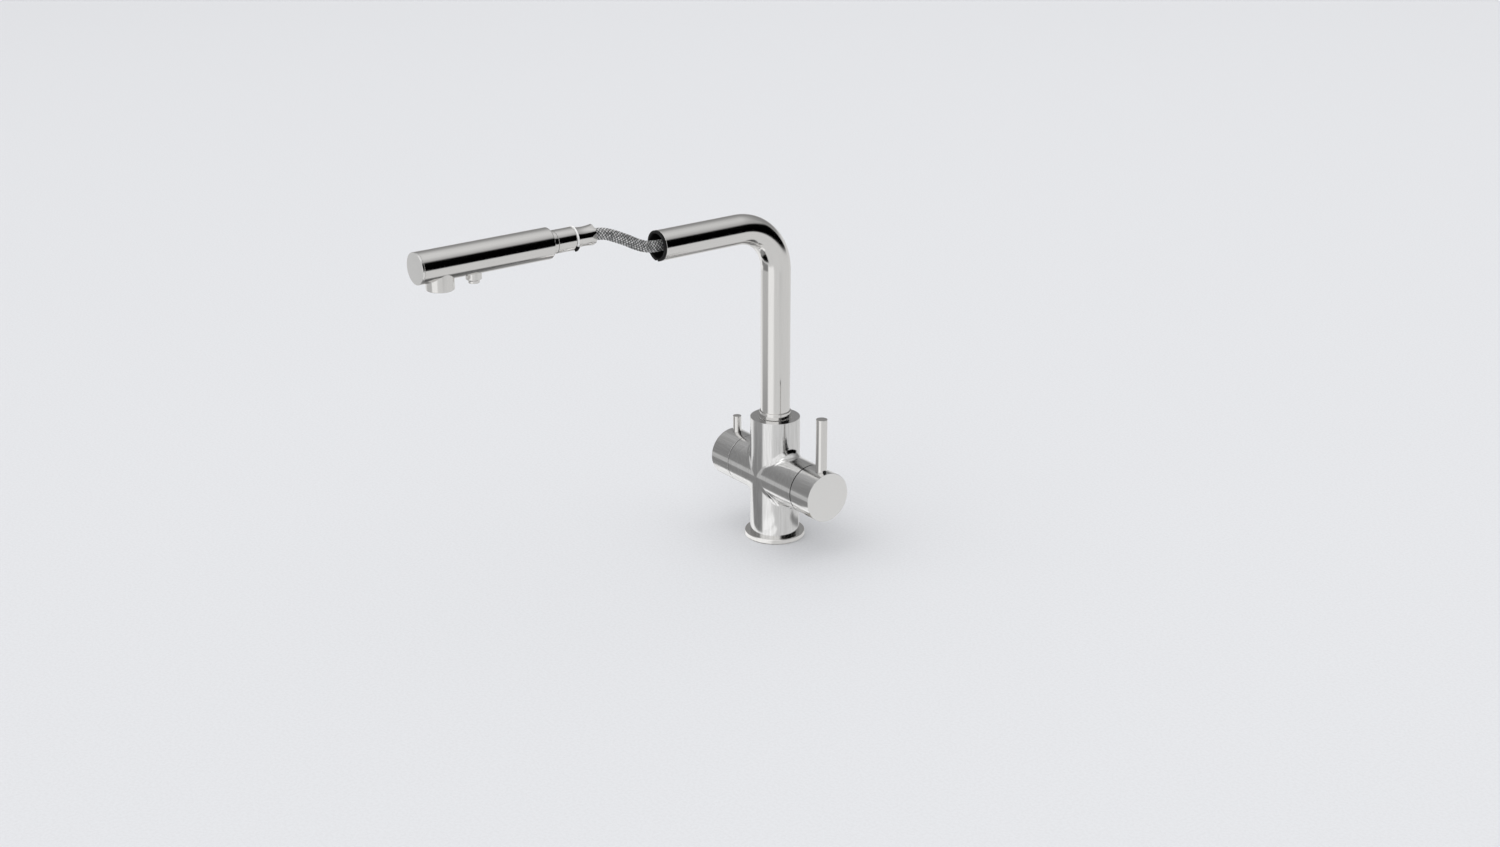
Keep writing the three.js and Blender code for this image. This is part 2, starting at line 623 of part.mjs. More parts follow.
function mixerSpindle() {
  const start = CARTRIDGE_FACE + SEAT_GAP;
  const end = MIXER_KNOB_FLOOR + SPINDLE_BITE - SEAT_GAP;
  return block(end - start, MIXER_SPINDLE_SIDE, MIXER_SPINDLE_SIDE, (start + end) / 2, 0, VALVE_HEIGHT);
}

// A knob is a cup whose thick end holds the lever above and the spindle on its axis.
function knob({ seam, end, floor, leverPlace, leverRadius, leverRoot, spindleHole }) {
  const profile = [
    [BODY_RADIUS - KNOB_WALL, seam], [BODY_RADIUS, seam],
    [BODY_RADIUS, end - EDGE], [BODY_RADIUS - EDGE, end],
    [0, end], [0, floor], [BODY_RADIUS - KNOB_WALL, floor], [BODY_RADIUS - KNOB_WALL, seam],
  ];
  const cup = toSolid(turned(profile));
  const leverHole = rod(leverRadius + SEAT_GAP, leverRoot - SEAT_GAP, BODY_RADIUS + PASS, {
    sides: SMALL_SIDES,
  });
  const grubHole = rod(GRUB_RADIUS + SEAT_GAP, 0, BODY_RADIUS + PASS, { sides: SMALL_SIDES });
  const grubPlace = floor + SPINDLE_BITE / 2;
  return cut(
    cup,
    leverHole.rotate([0, -90, 0]).translate([0, 0, leverPlace]),
    grubHole.rotate([0, 90, 0]).translate([0, 0, grubPlace]),
    spindleHole,
  );
}

// On a knob laid along X its local -X side is up, so the lever stands on that side.
function mixerKnob() {
  const side = MIXER_SPINDLE_SIDE + 2 * SEAT_GAP;
  const depth = SPINDLE_BITE + PASS;
  const spindleHole = block(side, side, depth, 0, 0, MIXER_KNOB_FLOOR - PASS + depth / 2);
  return alongX(knob({
    seam: MIXER_SEAM + MIXER_SEAM_GAP,
    end: MIXER_END,
    floor: MIXER_KNOB_FLOOR,
    leverPlace: MIXER_LEVER_PLACE,
    leverRadius: MIXER_LEVER_RADIUS,
    leverRoot: MIXER_LEVER_ROOT,
    spindleHole,
  }));
}

function mixerLever() {
  return rod(MIXER_LEVER_RADIUS, MIXER_LEVER_ROOT, MIXER_LEVER_REACH, { edge: EDGE, sides: SMALL_SIDES })
    .translate([MIXER_LEVER_PLACE, 0, VALVE_HEIGHT]);
}

// A grub screw stands in the knob's lower wall and bears on the spindle.
function grubScrew(place, spindleHalf) {
  const top = VALVE_HEIGHT - spindleHalf - SEAT_GAP;
  return rod(GRUB_RADIUS, top - GRUB_LENGTH, top, { sides: SMALL_SIDES }).translate([place, 0, 0]);
}

// ---------------------------------------------------------------- the filter valve
const HEADWORK_START = FILTER_BORE_FLOOR + SEAT_GAP;
const HEADWORK_FACE = HEADWORK_START + HEADWORK_LENGTH;
const FILTER_KNOB_FLOOR = FILTER_END - FILTER_KNOB_END_WALL;

function filterHeadwork() {
  const options = { edge: EDGE, sides: SMALL_SIDES };
  return alongMinusX(rod(HEADWORK_RADIUS, HEADWORK_START, HEADWORK_FACE, options));
}

function filterHeadworkNut() {
  const start = HEADWORK_FACE + SEAT_GAP;
  const end = start + HEADWORK_NUT_LENGTH;
  return alongMinusX(ring(HEADWORK_NUT_BORE, HEADWORK_RADIUS, start, end, { sides: SMALL_SIDES }));
}

function filterSpindle() {
  const start = HEADWORK_FACE + SEAT_GAP;
  const end = FILTER_KNOB_FLOOR + SPINDLE_BITE - SEAT_GAP;
  return alongMinusX(rod(FILTER_SPINDLE_RADIUS, start, end, { sides: SMALL_SIDES }));
}

function filterKnob() {
  const spindleHole = rod(
    FILTER_SPINDLE_RADIUS + SEAT_GAP,
    FILTER_KNOB_FLOOR - PASS,
    FILTER_KNOB_FLOOR + SPINDLE_BITE,
    { sides: SMALL_SIDES },
  );
  const upright = knob({
    seam: FILTER_SEAM + FILTER_SEAM_GAP,
    end: FILTER_END,
    floor: FILTER_KNOB_FLOOR,
    leverPlace: FILTER_LEVER_PLACE,
    leverRadius: FILTER_LEVER_RADIUS,
    leverRoot: FILTER_LEVER_ROOT,
    spindleHole,
  });
  return alongMinusX(upright.rotate([0, 0, 180]));
}

function filterLever() {
  return rod(FILTER_LEVER_RADIUS, FILTER_LEVER_ROOT, FILTER_LEVER_REACH, { edge: EDGE, sides: SMALL_SIDES })
    .translate([-FILTER_LEVER_PLACE, 0, VALVE_HEIGHT]);
}

// ---------------------------------------------------------------- the pull-out head
function upright(solid, place) {
  return solid.translate([0, -place, 0]);
}

function headBarrel() {
  const profile = [
    [NECK_THREAD + SEAT_GAP, HEAD_REAR], [TUBE_RADIUS - HEAD_REAR_CHAMFER, HEAD_REAR],
    [TUBE_RADIUS, HEAD_REAR + HEAD_REAR_CHAMFER], [TUBE_RADIUS, HEAD_FRONT - CAP_THICKNESS - SEAT_GAP / 2],
    [TUBE_RADIUS - HEAD_WALL, HEAD_FRONT - CAP_THICKNESS - SEAT_GAP / 2],
    [TUBE_RADIUS - HEAD_WALL, HEAD_REAR + HEAD_REAR_WALL],
    [NECK_THREAD + SEAT_GAP, HEAD_REAR + HEAD_REAR_WALL], [NECK_THREAD + SEAT_GAP, HEAD_REAR],
  ];
  const low = HEAD_HEIGHT - TUBE_RADIUS - PASS;
  const aeratorHole = upright(rod(AERATOR_THREAD + SEAT_GAP, low, HEAD_HEIGHT), AERATOR_PLACE);
  const jetHole = upright(rod(JET_THREAD + SEAT_GAP, low, HEAD_HEIGHT, { sides: SMALL_SIDES }), JET_PLACE);
  return cut(alongHead(toSolid(turned(profile))), aeratorHole, jetHole);
}

function headEndCap() {
  const back = HEAD_FRONT - CAP_THICKNESS;
  const spigot = TUBE_RADIUS - HEAD_WALL - SEAT_GAP;
  return alongHead(toSolid(turned([
    [0, back - CAP_SPIGOT], [spigot, back - CAP_SPIGOT], [spigot, back],
    [TUBE_RADIUS, back], [TUBE_RADIUS, HEAD_FRONT - EDGE], [TUBE_RADIUS - EDGE, HEAD_FRONT],
    [0, HEAD_FRONT],
  ])));
}

function headNeck() {
  const threadEnd = HEAD_REAR + HEAD_REAR_WALL + 1;
  return alongHead(toSolid(turned([
    [NECK_BORE, NECK_SEAM + SEAT_GAP], [NECK_RADIUS, NECK_SEAM + SEAT_GAP],
    [NECK_RADIUS, HEAD_REAR - SEAT_GAP / 2], [NECK_THREAD, HEAD_REAR - SEAT_GAP / 2],
    [NECK_THREAD, threadEnd], [NECK_BORE, threadEnd], [NECK_BORE, NECK_SEAM + SEAT_GAP],
  ])));
}

function neckSleeve() {
  return alongHead(ring(NECK_BORE, NECK_RADIUS, NECK_END, NECK_SEAM, { edge: EDGE / 2 }));
}

function swivelRing() {
  const end = NECK_END - RUNNING_GAP;
  return alongHead(ring(NECK_BORE, SWIVEL_RING_RADIUS, end - SWIVEL_RING_LENGTH, end, { edge: EDGE }));
}

function checkValve() {
  const start = CONNECTOR_FRONT + CONNECTOR_STEM_LENGTH + 2 * SEAT_GAP;
  const radius = NECK_BORE - SEAT_GAP;
  return alongHead(rod(radius, start, start + CHECK_VALVE_LENGTH, { edge: EDGE, sides: SMALL_SIDES }));
}

// The waisted connector that the hose is fixed in; its stem turns in the head's neck.
function hoseConnector() {
  const front = CONNECTOR_FRONT;
  const waist = (front + CONNECTOR_END) / 2;
  const outline = new THREE.CatmullRomCurve3([
    new THREE.Vector3(CONNECTOR_FLARE_RADIUS, CONNECTOR_END + 2 * EDGE, 0),
    new THREE.Vector3((CONNECTOR_FLARE_RADIUS + CONNECTOR_WAIST) / 2, (CONNECTOR_END + waist) / 2, 0),
    new THREE.Vector3(CONNECTOR_WAIST, waist, 0),
    new THREE.Vector3(CONNECTOR_FRONT_RADIUS, front, 0),
  ]).getPoints(WAIST_STEPS).map((p) => [p.x, p.y]);
  const stemEnd = front + CONNECTOR_STEM_LENGTH;
  const turnedBody = toSolid(turned([
    [0, CONNECTOR_END], [CONNECTOR_FLARE_RADIUS - EDGE, CONNECTOR_END], ...outline,
    [CONNECTOR_STEM, front], [CONNECTOR_STEM, stemEnd], [0, stemEnd],
  ]));
  const socketEnd = CONNECTOR_END + CONNECTOR_SOCKET;
  const socket = rod(HOSE_RADIUS + 2 * SEAT_GAP, CONNECTOR_END - PASS, socketEnd, { sides: SMALL_SIDES });
  const waterway = rod(WATERWAY_RADIUS, CONNECTOR_END, stemEnd + PASS, { sides: SMALL_SIDES });
  const height = CONNECTOR_FLAT_LENGTH + PASS;
  const middle = CONNECTOR_END - PASS + height / 2;
  const flats = Array.from({ length: CONNECTOR_FLATS }, (_, i) => {
    const turn = CONNECTOR_FLAT_TURN + (360 * i) / CONNECTOR_FLATS;
    const slab = block(CONNECTOR_FLAT, 4 * CONNECTOR_FLAT, height, 1.5 * CONNECTOR_FLAT, 0, middle);
    return slab.rotate([0, 0, turn]);
  });
  return alongHead(cut(turnedBody, socket, waterway, ...flats));
}

// The moulded insert carries the water from the neck to the two nozzles.
function headInsert() {
  const radius = TUBE_RADIUS - HEAD_WALL - SEAT_GAP;
  const end = HEAD_FRONT - CAP_THICKNESS - CAP_SPIGOT - SEAT_GAP;
  const start = HEAD_REAR + INSERT_ROOM;
  const core = alongHead(rod(radius, start, end, { sides: SMALL_SIDES }));
  const channel = alongHead(rod(WATERWAY_RADIUS, start - PASS, AERATOR_PLACE, { sides: SMALL_SIDES }));
  const low = HEAD_HEIGHT - 2 * TUBE_RADIUS;
  const seatTop = NOZZLE_SEAT + SEAT_GAP;
  const aeratorSeat = upright(rod(AERATOR_THREAD + 2 * SEAT_GAP, low, seatTop), AERATOR_PLACE);
  const aeratorFeed = upright(rod(WATERWAY_RADIUS, low, HEAD_HEIGHT, { sides: SMALL_SIDES }), AERATOR_PLACE);
  const jetSeat = upright(rod(JET_THREAD + 2 * SEAT_GAP, low, seatTop, { sides: SMALL_SIDES }), JET_PLACE);
  return cut(core, channel, aeratorSeat, aeratorFeed, jetSeat);
}

const NOZZLE_SEAT = HEAD_HEIGHT - TUBE_RADIUS + NOZZLE_REACH;

// A nozzle is a short upright cup: its shoulder is cut to the barrel, its thread goes inside.
function nozzle(place, profile, thread, bore) {
  const around = alongHead(rod(TUBE_RADIUS + SEAT_GAP / 2, HEAD_REAR, HEAD_FRONT));
  const shoulder = cut(toSolid(turned(profile)), around.translate([0, place, 0]));
  const spigot = rod(thread, NOZZLE_BOTTOM + JET_STEP, NOZZLE_SEAT, { sides: SMALL_SIDES });
  const passage = rod(bore, NOZZLE_BOTTOM - PASS, NOZZLE_SEAT + PASS, { sides: SMALL_SIDES });
  return upright(cut(join(shoulder, spigot), passage), place);
}

function aeratorHousing() {
  const profile = rodProfile(AERATOR_RADIUS, NOZZLE_BOTTOM, HEAD_HEIGHT, EDGE);
  return nozzle(AERATOR_PLACE, profile, AERATOR_THREAD, AERATOR_BORE);
}

function filterNozzle() {
  const step = NOZZLE_BOTTOM + JET_STEP;
  const profile = [
    [0, NOZZLE_BOTTOM], [JET_TIP_RADIUS, NOZZLE_BOTTOM], [JET_TIP_RADIUS, step - 1],
    [JET_RADIUS, step], [JET_RADIUS, HEAD_HEIGHT], [0, HEAD_HEIGHT],
  ];
  return nozzle(JET_PLACE, profile, JET_THREAD, JET_BORE);
}

function aeratorInsert() {
  const low = NOZZLE_BOTTOM + AERATOR_INSERT_SINK;
  const radius = AERATOR_BORE - SEAT_GAP;
  const top = low + AERATOR_INSERT_HEIGHT;
  return upright(rod(radius, low, top, { edge: EDGE, sides: SMALL_SIDES }), AERATOR_PLACE);
}

function filterNozzleInsert() {
  const low = NOZZLE_BOTTOM + AERATOR_INSERT_SINK;
  const radius = JET_BORE - SEAT_GAP;
  return upright(rod(radius, low, low + AERATOR_INSERT_HEIGHT / 2, { sides: SMALL_SIDES }), JET_PLACE);
}

// ---------------------------------------------------------------- the hose
function freeHose() {
  const wayIn = FREE_HOSE_START - FREE_HOSE_END;
  const rise = HEAD_HEIGHT - SPOUT_HEIGHT;
  return hose(FREE_HOSE.map(([out, up]) => (
    new THREE.Vector3(0, -FREE_HOSE_END - out * wayIn, SPOUT_HEIGHT + up * rise)
  )));
}

function spoutHose() {
  const points = [new THREE.Vector3(0, -FREE_HOSE_END + SEAT_GAP, SPOUT_HEIGHT)];
  const bendSteps = 6;
  points.push(new THREE.Vector3(0, -TUBE_BEND - 2 * HOSE_STEP, SPOUT_HEIGHT));
  for (let i = bendSteps; i >= 0; i -= 1) {
    const angle = (Math.PI / 2) * (i / bendSteps);
    const y = -TUBE_BEND * (1 - Math.cos(angle));
    const z = SPOUT_HEIGHT - TUBE_BEND * (1 - Math.sin(angle));
    points.push(new THREE.Vector3(0, y, z));
  }
  points.push(new THREE.Vector3(0, 0, SPOUT_HEIGHT - TUBE_BEND - 2 * HOSE_STEP));
  points.push(new THREE.Vector3(0, 0, HOSE_JOINT + SEAT_GAP));
  return hose(points);
}

// The coil hangs upright: the hose goes down at +X, turns COIL_TURNS times and rises at -X.
function coilPoints() {
  const count = Math.round(COIL_TURNS * COIL_POINTS);
  return Array.from({ length: count + 1 }, (_, i) => {
    const turn = (2 * Math.PI * i) / COIL_POINTS;
    return new THREE.Vector3(
      COIL_RADIUS * Math.cos(turn),
      -COIL_PITCH * (i / COIL_POINTS),
      COIL_CENTRE - COIL_RADIUS * Math.sin(turn),
    );
  });
}

// The points of an S that leaves one upright stretch and joins another beside it.
function sway(from, to) {
  const steps = 4;
  return Array.from({ length: steps - 1 }, (_, i) => {
    const part = (i + 1) / steps;
    const aside = THREE.MathUtils.smoothstep(part, 0, 1);
    return new THREE.Vector3(
      THREE.MathUtils.lerp(from.x, to.x, aside),
      THREE.MathUtils.lerp(from.y, to.y, aside),
      THREE.MathUtils.lerp(from.z, to.z, part),
    );
  });
}

function lowerHose() {
  const straight = 2 * HOSE_RADIUS;
  const level = (z) => new THREE.Vector3(0, 0, z);
  const leaving = level(TAIL_BOTTOM - straight);
  const down = [level(HOSE_JOINT), level(HOSE_JOINT / 2), level(0), level(SHANK_BOTTOM), leaving];
  const [x, y] = socketPlace();
  const end = SOCKET_TOP - SOCKET_LENGTH / 2 - SEAT_GAP;
  const plugged = new THREE.Vector3(x, y, end);
  const entering = new THREE.Vector3(x, y, SOCKET_TOP - SOCKET_LENGTH - straight);
  const coil = coilPoints();
  return hose([
    ...down, ...sway(leaving, coil[0]), ...coil, ...sway(coil.at(-1), entering), entering, plugged,
  ]);
}

// The least clear distance between neighbouring turns of the coil, measured on its points.
function coilGap() {
  const points = coilPoints();
  let least = Infinity;
  points.forEach((a, i) => points.slice(i + COIL_POINTS / 2).forEach((b) => {
    least = Math.min(least, a.distanceTo(b) - 2 * HOSE_RADIUS);
  }));
  return least;
}

// ---------------------------------------------------------------- the assembly
const tap = new THREE.Group();

function piece(name, solid, material) {
  const mesh = new THREE.Mesh(toGeometry(solid), material);
  mesh.name = name;
  tap.add(mesh);
}

piece('deck_gasket', deckGasket(), rubber());
piece('base_flange', baseFlange(), steel());
piece('tap_body', tapBody(), steel());
piece('threaded_shank', shank(), brass());
piece('rubber_washer', rubberWasher(), rubber());
piece('steel_washer', steelWasher(), steel());
piece('mounting_nut', mountingNut(), brass());
['cold_inlet_tail', 'hot_inlet_tail'].forEach((name, i) => piece(name, tail(i), brass()));
piece('filtered_inlet_tail', tail(3), brass());
piece('mixed_outlet_pipe', outletPipe(), brass());
piece('hose_socket', hoseSocket(), brass());

piece('spout_tube', spoutTube(), steel());
piece('spout_bush', spoutBush(), whitePlastic());
piece('spout_base_ring', spoutBaseRing(), steel());
piece('spout_seal', spoutSeal(), rubber());
piece('docking_collar', dockingCollar(), blackPlastic());

piece('mixer_cartridge', mixerCartridge(), whitePlastic());
piece('mixer_cartridge_nut', mixerCartridgeNut(), brass());
piece('mixer_stem_carrier', mixerStemCarrier(), greyPlastic());
piece('mixer_spindle', mixerSpindle(), brass());
piece('mixer_knob', mixerKnob(), steelDisc());
piece('mixer_lever', mixerLever(), steel());
piece('mixer_grub_screw', grubScrew(MIXER_KNOB_FLOOR + SPINDLE_BITE / 2, MIXER_SPINDLE_SIDE / 2), steel());

piece('filter_headwork', filterHeadwork(), brass());
piece('filter_headwork_nut', filterHeadworkNut(), brass());
piece('filter_spindle', filterSpindle(), brass());
piece('filter_knob', filterKnob(), steelDisc());
piece('filter_lever', filterLever(), steel());
piece('filter_grub_screw', grubScrew(-FILTER_KNOB_FLOOR - SPINDLE_BITE / 2, FILTER_SPINDLE_RADIUS), steel());

piece('head_barrel', headBarrel(), steel());
piece('head_end_cap', headEndCap(), steelDisc());
piece('head_neck', headNeck(), steel());
piece('neck_sleeve', neckSleeve(), steel());
piece('head_insert', headInsert(), blackPlastic());
piece('check_valve', checkValve(), whitePlastic());
piece('aerator_housing', aeratorHousing(), steel());
piece('aerator_insert', aeratorInsert(), greyPlastic());
piece('filter_nozzle', filterNozzle(), steel());
piece('filter_nozzle_insert', filterNozzleInsert(), greyPlastic());
piece('swivel_ring', swivelRing(), whitePlastic());
piece('hose_connector', hoseConnector(), steel());

const hoses = { hose_free: freeHose(), hose_in_spout: spoutHose(), hose_below: lowerHose() };
for (const [name, { solid, length }] of Object.entries(hoses)) {
  piece(name, solid, hoseBraid());
  console.log(`${name} is ${length.toFixed(0)} mm long`);
}
console.log(`the coil's turns are at least ${coilGap().toFixed(2)} mm apart`);

export default tap;
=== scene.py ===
"""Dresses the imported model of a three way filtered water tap.

Lengths are in metres and angles in radians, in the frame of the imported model: the tap stands
on z = 0, the spout points to -Y, the mixer handle is on the +X side, the filter handle on -X.
"""

import json
import logging
import math
from collections.abc import Callable, Sequence
from dataclasses import dataclass
from enum import Enum

import bmesh
import bpy
from mathutils import Matrix, Vector


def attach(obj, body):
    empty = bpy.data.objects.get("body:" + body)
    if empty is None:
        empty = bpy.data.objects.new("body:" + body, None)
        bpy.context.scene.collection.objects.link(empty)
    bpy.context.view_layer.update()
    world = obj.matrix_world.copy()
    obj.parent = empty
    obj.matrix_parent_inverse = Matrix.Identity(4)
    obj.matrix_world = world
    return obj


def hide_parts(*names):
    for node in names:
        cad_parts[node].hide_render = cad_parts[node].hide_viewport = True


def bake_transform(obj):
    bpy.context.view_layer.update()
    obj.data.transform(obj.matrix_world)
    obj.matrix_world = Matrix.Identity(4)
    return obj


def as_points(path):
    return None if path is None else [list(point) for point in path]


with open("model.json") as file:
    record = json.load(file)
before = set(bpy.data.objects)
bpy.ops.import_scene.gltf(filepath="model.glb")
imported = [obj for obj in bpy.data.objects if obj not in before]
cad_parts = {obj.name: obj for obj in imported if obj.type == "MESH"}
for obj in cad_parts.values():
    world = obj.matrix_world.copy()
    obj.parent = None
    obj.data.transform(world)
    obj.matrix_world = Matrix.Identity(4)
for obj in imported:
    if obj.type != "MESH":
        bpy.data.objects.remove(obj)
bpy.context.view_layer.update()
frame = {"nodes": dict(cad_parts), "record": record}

LOG = logging.getLogger("water_tap")

Socket = bpy.types.NodeSocket
Node = bpy.types.Node
Piece = bpy.types.Object
Mesh = bmesh.types.BMesh
Corner = bmesh.types.BMVert
Edge = bmesh.types.BMEdge
Colour = tuple[float, float, float]
Point = tuple[float, float, float]
Profile = Sequence[tuple[float, float]]

# Sizes that several sub-assemblies share.
BODY_RADIUS = 0.0225
BODY_TOP = 0.115
VALVE_HEIGHT = 0.0605
TUBE_RADIUS = 0.01325
SPOUT_HEIGHT = 0.296
TUBE_BEND = 0.043
SPOUT_REACH = 0.125
HEAD_HEIGHT = 0.3168
HEAD_REAR = 0.2332
HEAD_FRONT = 0.3556
NECK_RADIUS = 0.0099
HOSE_RADIUS = 0.005
BASE_RING_TOP = 0.121
# How far a cutter reaches past a surface, and how near a place counts as the same.
OVERSHOOT = 0.002
TOUCH = 0.0001
# How near each other corners are merged, how near a cut they count as on it, and how sharp
# an edge is before it is rounded.
MERGED = 1e-6
ON_CUT = 1e-7
SHARP_EDGE = math.radians(38.0)
# From what share of a direction a face or a step counts as going that way.
FACES_SO = 0.9
ROUND_STEPS = 96
SMALL_STEPS = 48
HALF_TURN = math.pi
QUARTER_TURN = math.pi / 2
FULL_TURN = 2 * math.pi
DEGREES = 180.0 / HALF_TURN
HERE = Matrix.Identity(4)
GRAIN = "grain"
# How fine the shared effects' patterns are, per metre, and what share of that the lines have
# along Z, which draws them out.
HAIR_FINENESS, HAIR_SHARE = 2000.0, 0.03
STREAK_FINENESS, STREAK_SHARE = 560.0, 0.05
WEAR_FINENESS = 26.0
SKIN_CLOUD_FINENESS = 60.0
WIRES_PER_STRAND = 5
# How far the rounded normal and the true one agree where an edge begins to show, and in full.
EDGE_STARTS, EDGE_ENDS = 0.99, 0.8


class Lie(Enum):
    """How a turned piece lies: its axis's height, and the turn that lays its own Z axis there."""

    UPRIGHT = (0.0, 0.0, "Z")
    MIXER = (VALVE_HEIGHT, QUARTER_TURN, "Y")
    FILTER = (VALVE_HEIGHT, -QUARTER_TURN, "Y")
    HEAD = (HEAD_HEIGHT, QUARTER_TURN, "X")
    MOUTH = (SPOUT_HEIGHT, QUARTER_TURN, "X")

    def place(self) -> Matrix:
        """Gives the matrix that lays a piece, turned about its own Z axis, in its place."""
        height, angle, axis = self.value
        return Matrix.Translation((0, 0, height)) @ Matrix.Rotation(angle, 4, axis)


class Coordinates(Enum):
    """Where a material takes its pattern's coordinates from."""

    GRAIN = "the piece's own turning frame"
    OBJECT = "the object's frame"


# ---- node trees
class Board:
    """A node tree, with short ways to add its nodes and join them."""

    def __init__(self, tree: bpy.types.NodeTree) -> None:
        """Keeps the tree that the nodes go to."""
        self.tree = tree

    @classmethod
    def cleared(cls, owner: bpy.types.Material | bpy.types.World) -> "Board":
        """Gives the board of a material or world, with its first nodes taken out.

        Args:
            owner: the material or world.

        Returns:
            Its board.
        """
        owner.use_nodes = True
        owner.node_tree.nodes.clear()
        return cls(owner.node_tree)

    def add(self, kind: str, inputs: dict[str | int, object] | None = None,
            **settings: object) -> Node:
        """Adds a node.

        Args:
            kind: the node's type name.
            inputs: what its inputs get, by name or number: sockets or plain values.
            **settings: properties to set on the node.

        Returns:
            The new node.
        """
        node = self.tree.nodes.new(kind)
        for name, value in settings.items():
            setattr(node, name, value)
        for key, value in (inputs or {}).items():
            self.feed(node.inputs[key], value)
        return node

    def feed(self, socket: Socket, value: object) -> None:
        """Joins an input socket to another socket, or sets it to a plain value.

        Args:
            socket: the input socket.
            value: an output socket, a number, a vector or a colour.
        """
        if isinstance(value, Socket):
            self.tree.links.new(value, socket)
        elif socket.type == "RGBA":
            socket.default_value = (*value, 1.0)
        else:
            socket.default_value = value

    def reckon(self, operation: str, *values: object, clamp: bool = False) -> Socket:
        """Adds a Math node and gives its output, which clamp keeps between 0 and 1."""
        entries = dict(enumerate(values))
        return self.add("ShaderNodeMath", entries, operation=operation, use_clamp=clamp).outputs[0]

    def times(self, first: object, second: object) -> Socket:
        """Multiplies two values."""
        return self.reckon("MULTIPLY", first, second)

    def plus(self, first: object, second: object) -> Socket:
        """Adds two values."""
        return self.reckon("ADD", first, second)

    def minus(self, first: object, second: object) -> Socket:
        """Takes the second value from the first."""
        return self.reckon("SUBTRACT", first, second)

    def ease(self, value: object, low: float, high: float, start: float = 0.0, end: float = 1.0,
             course: str = "SMOOTHSTEP") -> Socket:
        """Takes a value from start, where it is low, to end, where it is high."""
        entries = dict(enumerate((value, low, high, start, end)))
        return self.add("ShaderNodeMapRange", entries, interpolation_type=course).outputs[0]

    def spread(self, value: object, start: float, end: float) -> Socket:
        """Takes 0 to start and 1 to end, in a straight line."""
        return self.ease(value, 0.0, 1.0, start, end, "LINEAR")

    def blend(self, share: object, first: object, second: object) -> Socket:
        """Mixes two colours, of which share says how much of the second shows."""
        entries = {0: share, 6: first, 7: second}
        return self.add("ShaderNodeMix", entries, data_type="RGBA").outputs[2]

    def noise(self, vector: object, scale: float, detail: float = 2.0,
              roughness: float = 0.5) -> Socket:
        """Adds a noise texture, as fine as scale says per metre, and gives its value."""
        entries = {"Vector": vector, "Scale": scale, "Detail": detail, "Roughness": roughness}
        return self.add("ShaderNodeTexNoise", entries).outputs[0]

    def stretched(self, vector: object, share: float) -> Socket:
        """Shortens a vector's Z to a share of itself, so that a pattern is drawn out along Z."""
        entries = {0: vector, 1: (1.0, 1.0, share)}
        return self.add("ShaderNodeVectorMath", entries, operation="MULTIPLY").outputs[0]

    def bump(self, height: Socket, depth: float, strength: float) -> Socket:
        """Gives the normal of a skin whose height, from 0 to 1, is so deep in metres."""
        entries = {"Strength": strength, "Distance": depth, "Height": height}
        return self.add("ShaderNodeBump", entries).outputs["Normal"]

    def use(self, effect: Callable[["Board", Node], dict[str, Socket]],
            **values: object) -> bpy.types.NodeOutputs:
        """Places the node group of a shared effect, which is built when it is first used.

        Args:
            effect: fills the group, given its board and its input node.
            **values: the group's inputs by name, sockets or numbers.

        Returns:
            The group's outputs.
        """
        group = bpy.data.node_groups.get(effect.__name__)
        if group is None:
            group = bpy.data.node_groups.new(effect.__name__, "ShaderNodeTree")
            for label in values:
                kind = "NodeSocketVector" if label == "Vector" else "NodeSocketFloat"
                group.interface.new_socket(label, in_out="INPUT", socket_type=kind)
            inner = Board(group)
            results = effect(inner, inner.add("NodeGroupInput"))
            for label in results:
                group.interface.new_socket(label, in_out="OUTPUT", socket_type="NodeSocketFloat")
            inner.add("NodeGroupOutput", results)
        return self.add("ShaderNodeGroup", values, node_tree=group).outputs


def polishing_lines(board: Board, entry: Node) -> dict[str, Socket]:
    """Draws hair lines and broader streaks along Z, and a faint cloud.

    Args:
        board: the group's board.
        entry: its input node, with the coordinates.

    Returns:
        The group's outputs.
    """
    where = entry.outputs["Vector"]
    hair = board.noise(board.stretched(where, HAIR_SHARE), HAIR_FINENESS)
    streak = board.noise(board.stretched(where, STREAK_SHARE), STREAK_FINENESS, 3.0)
    cloud = board.noise(where, WEAR_FINENESS, 3.0, 0.6)
    return {"Lines": board.times(board.plus(hair, streak), 0.5), "Streak": streak, "Cloud": cloud}


def handled_edges(board: Board, entry: Node) -> dict[str, Socket]:
    """Finds a piece's edges, which handling rubs brighter.

    Args:
        board: the group's board.
        entry: its input node, with the edges' width.

    Returns:
        The group's outputs.
    """
    rounded = board.add("ShaderNodeBevel", {"Radius": entry.outputs["Width"]}, samples=4)
    true = board.add("ShaderNodeNewGeometry")
    normals = {0: rounded.outputs[0], 1: true.outputs["Normal"]}
    facing = board.add("ShaderNodeVectorMath", normals, operation="DOT_PRODUCT")
    return {"Edge": board.ease(facing.outputs["Value"], EDGE_STARTS, EDGE_ENDS)}


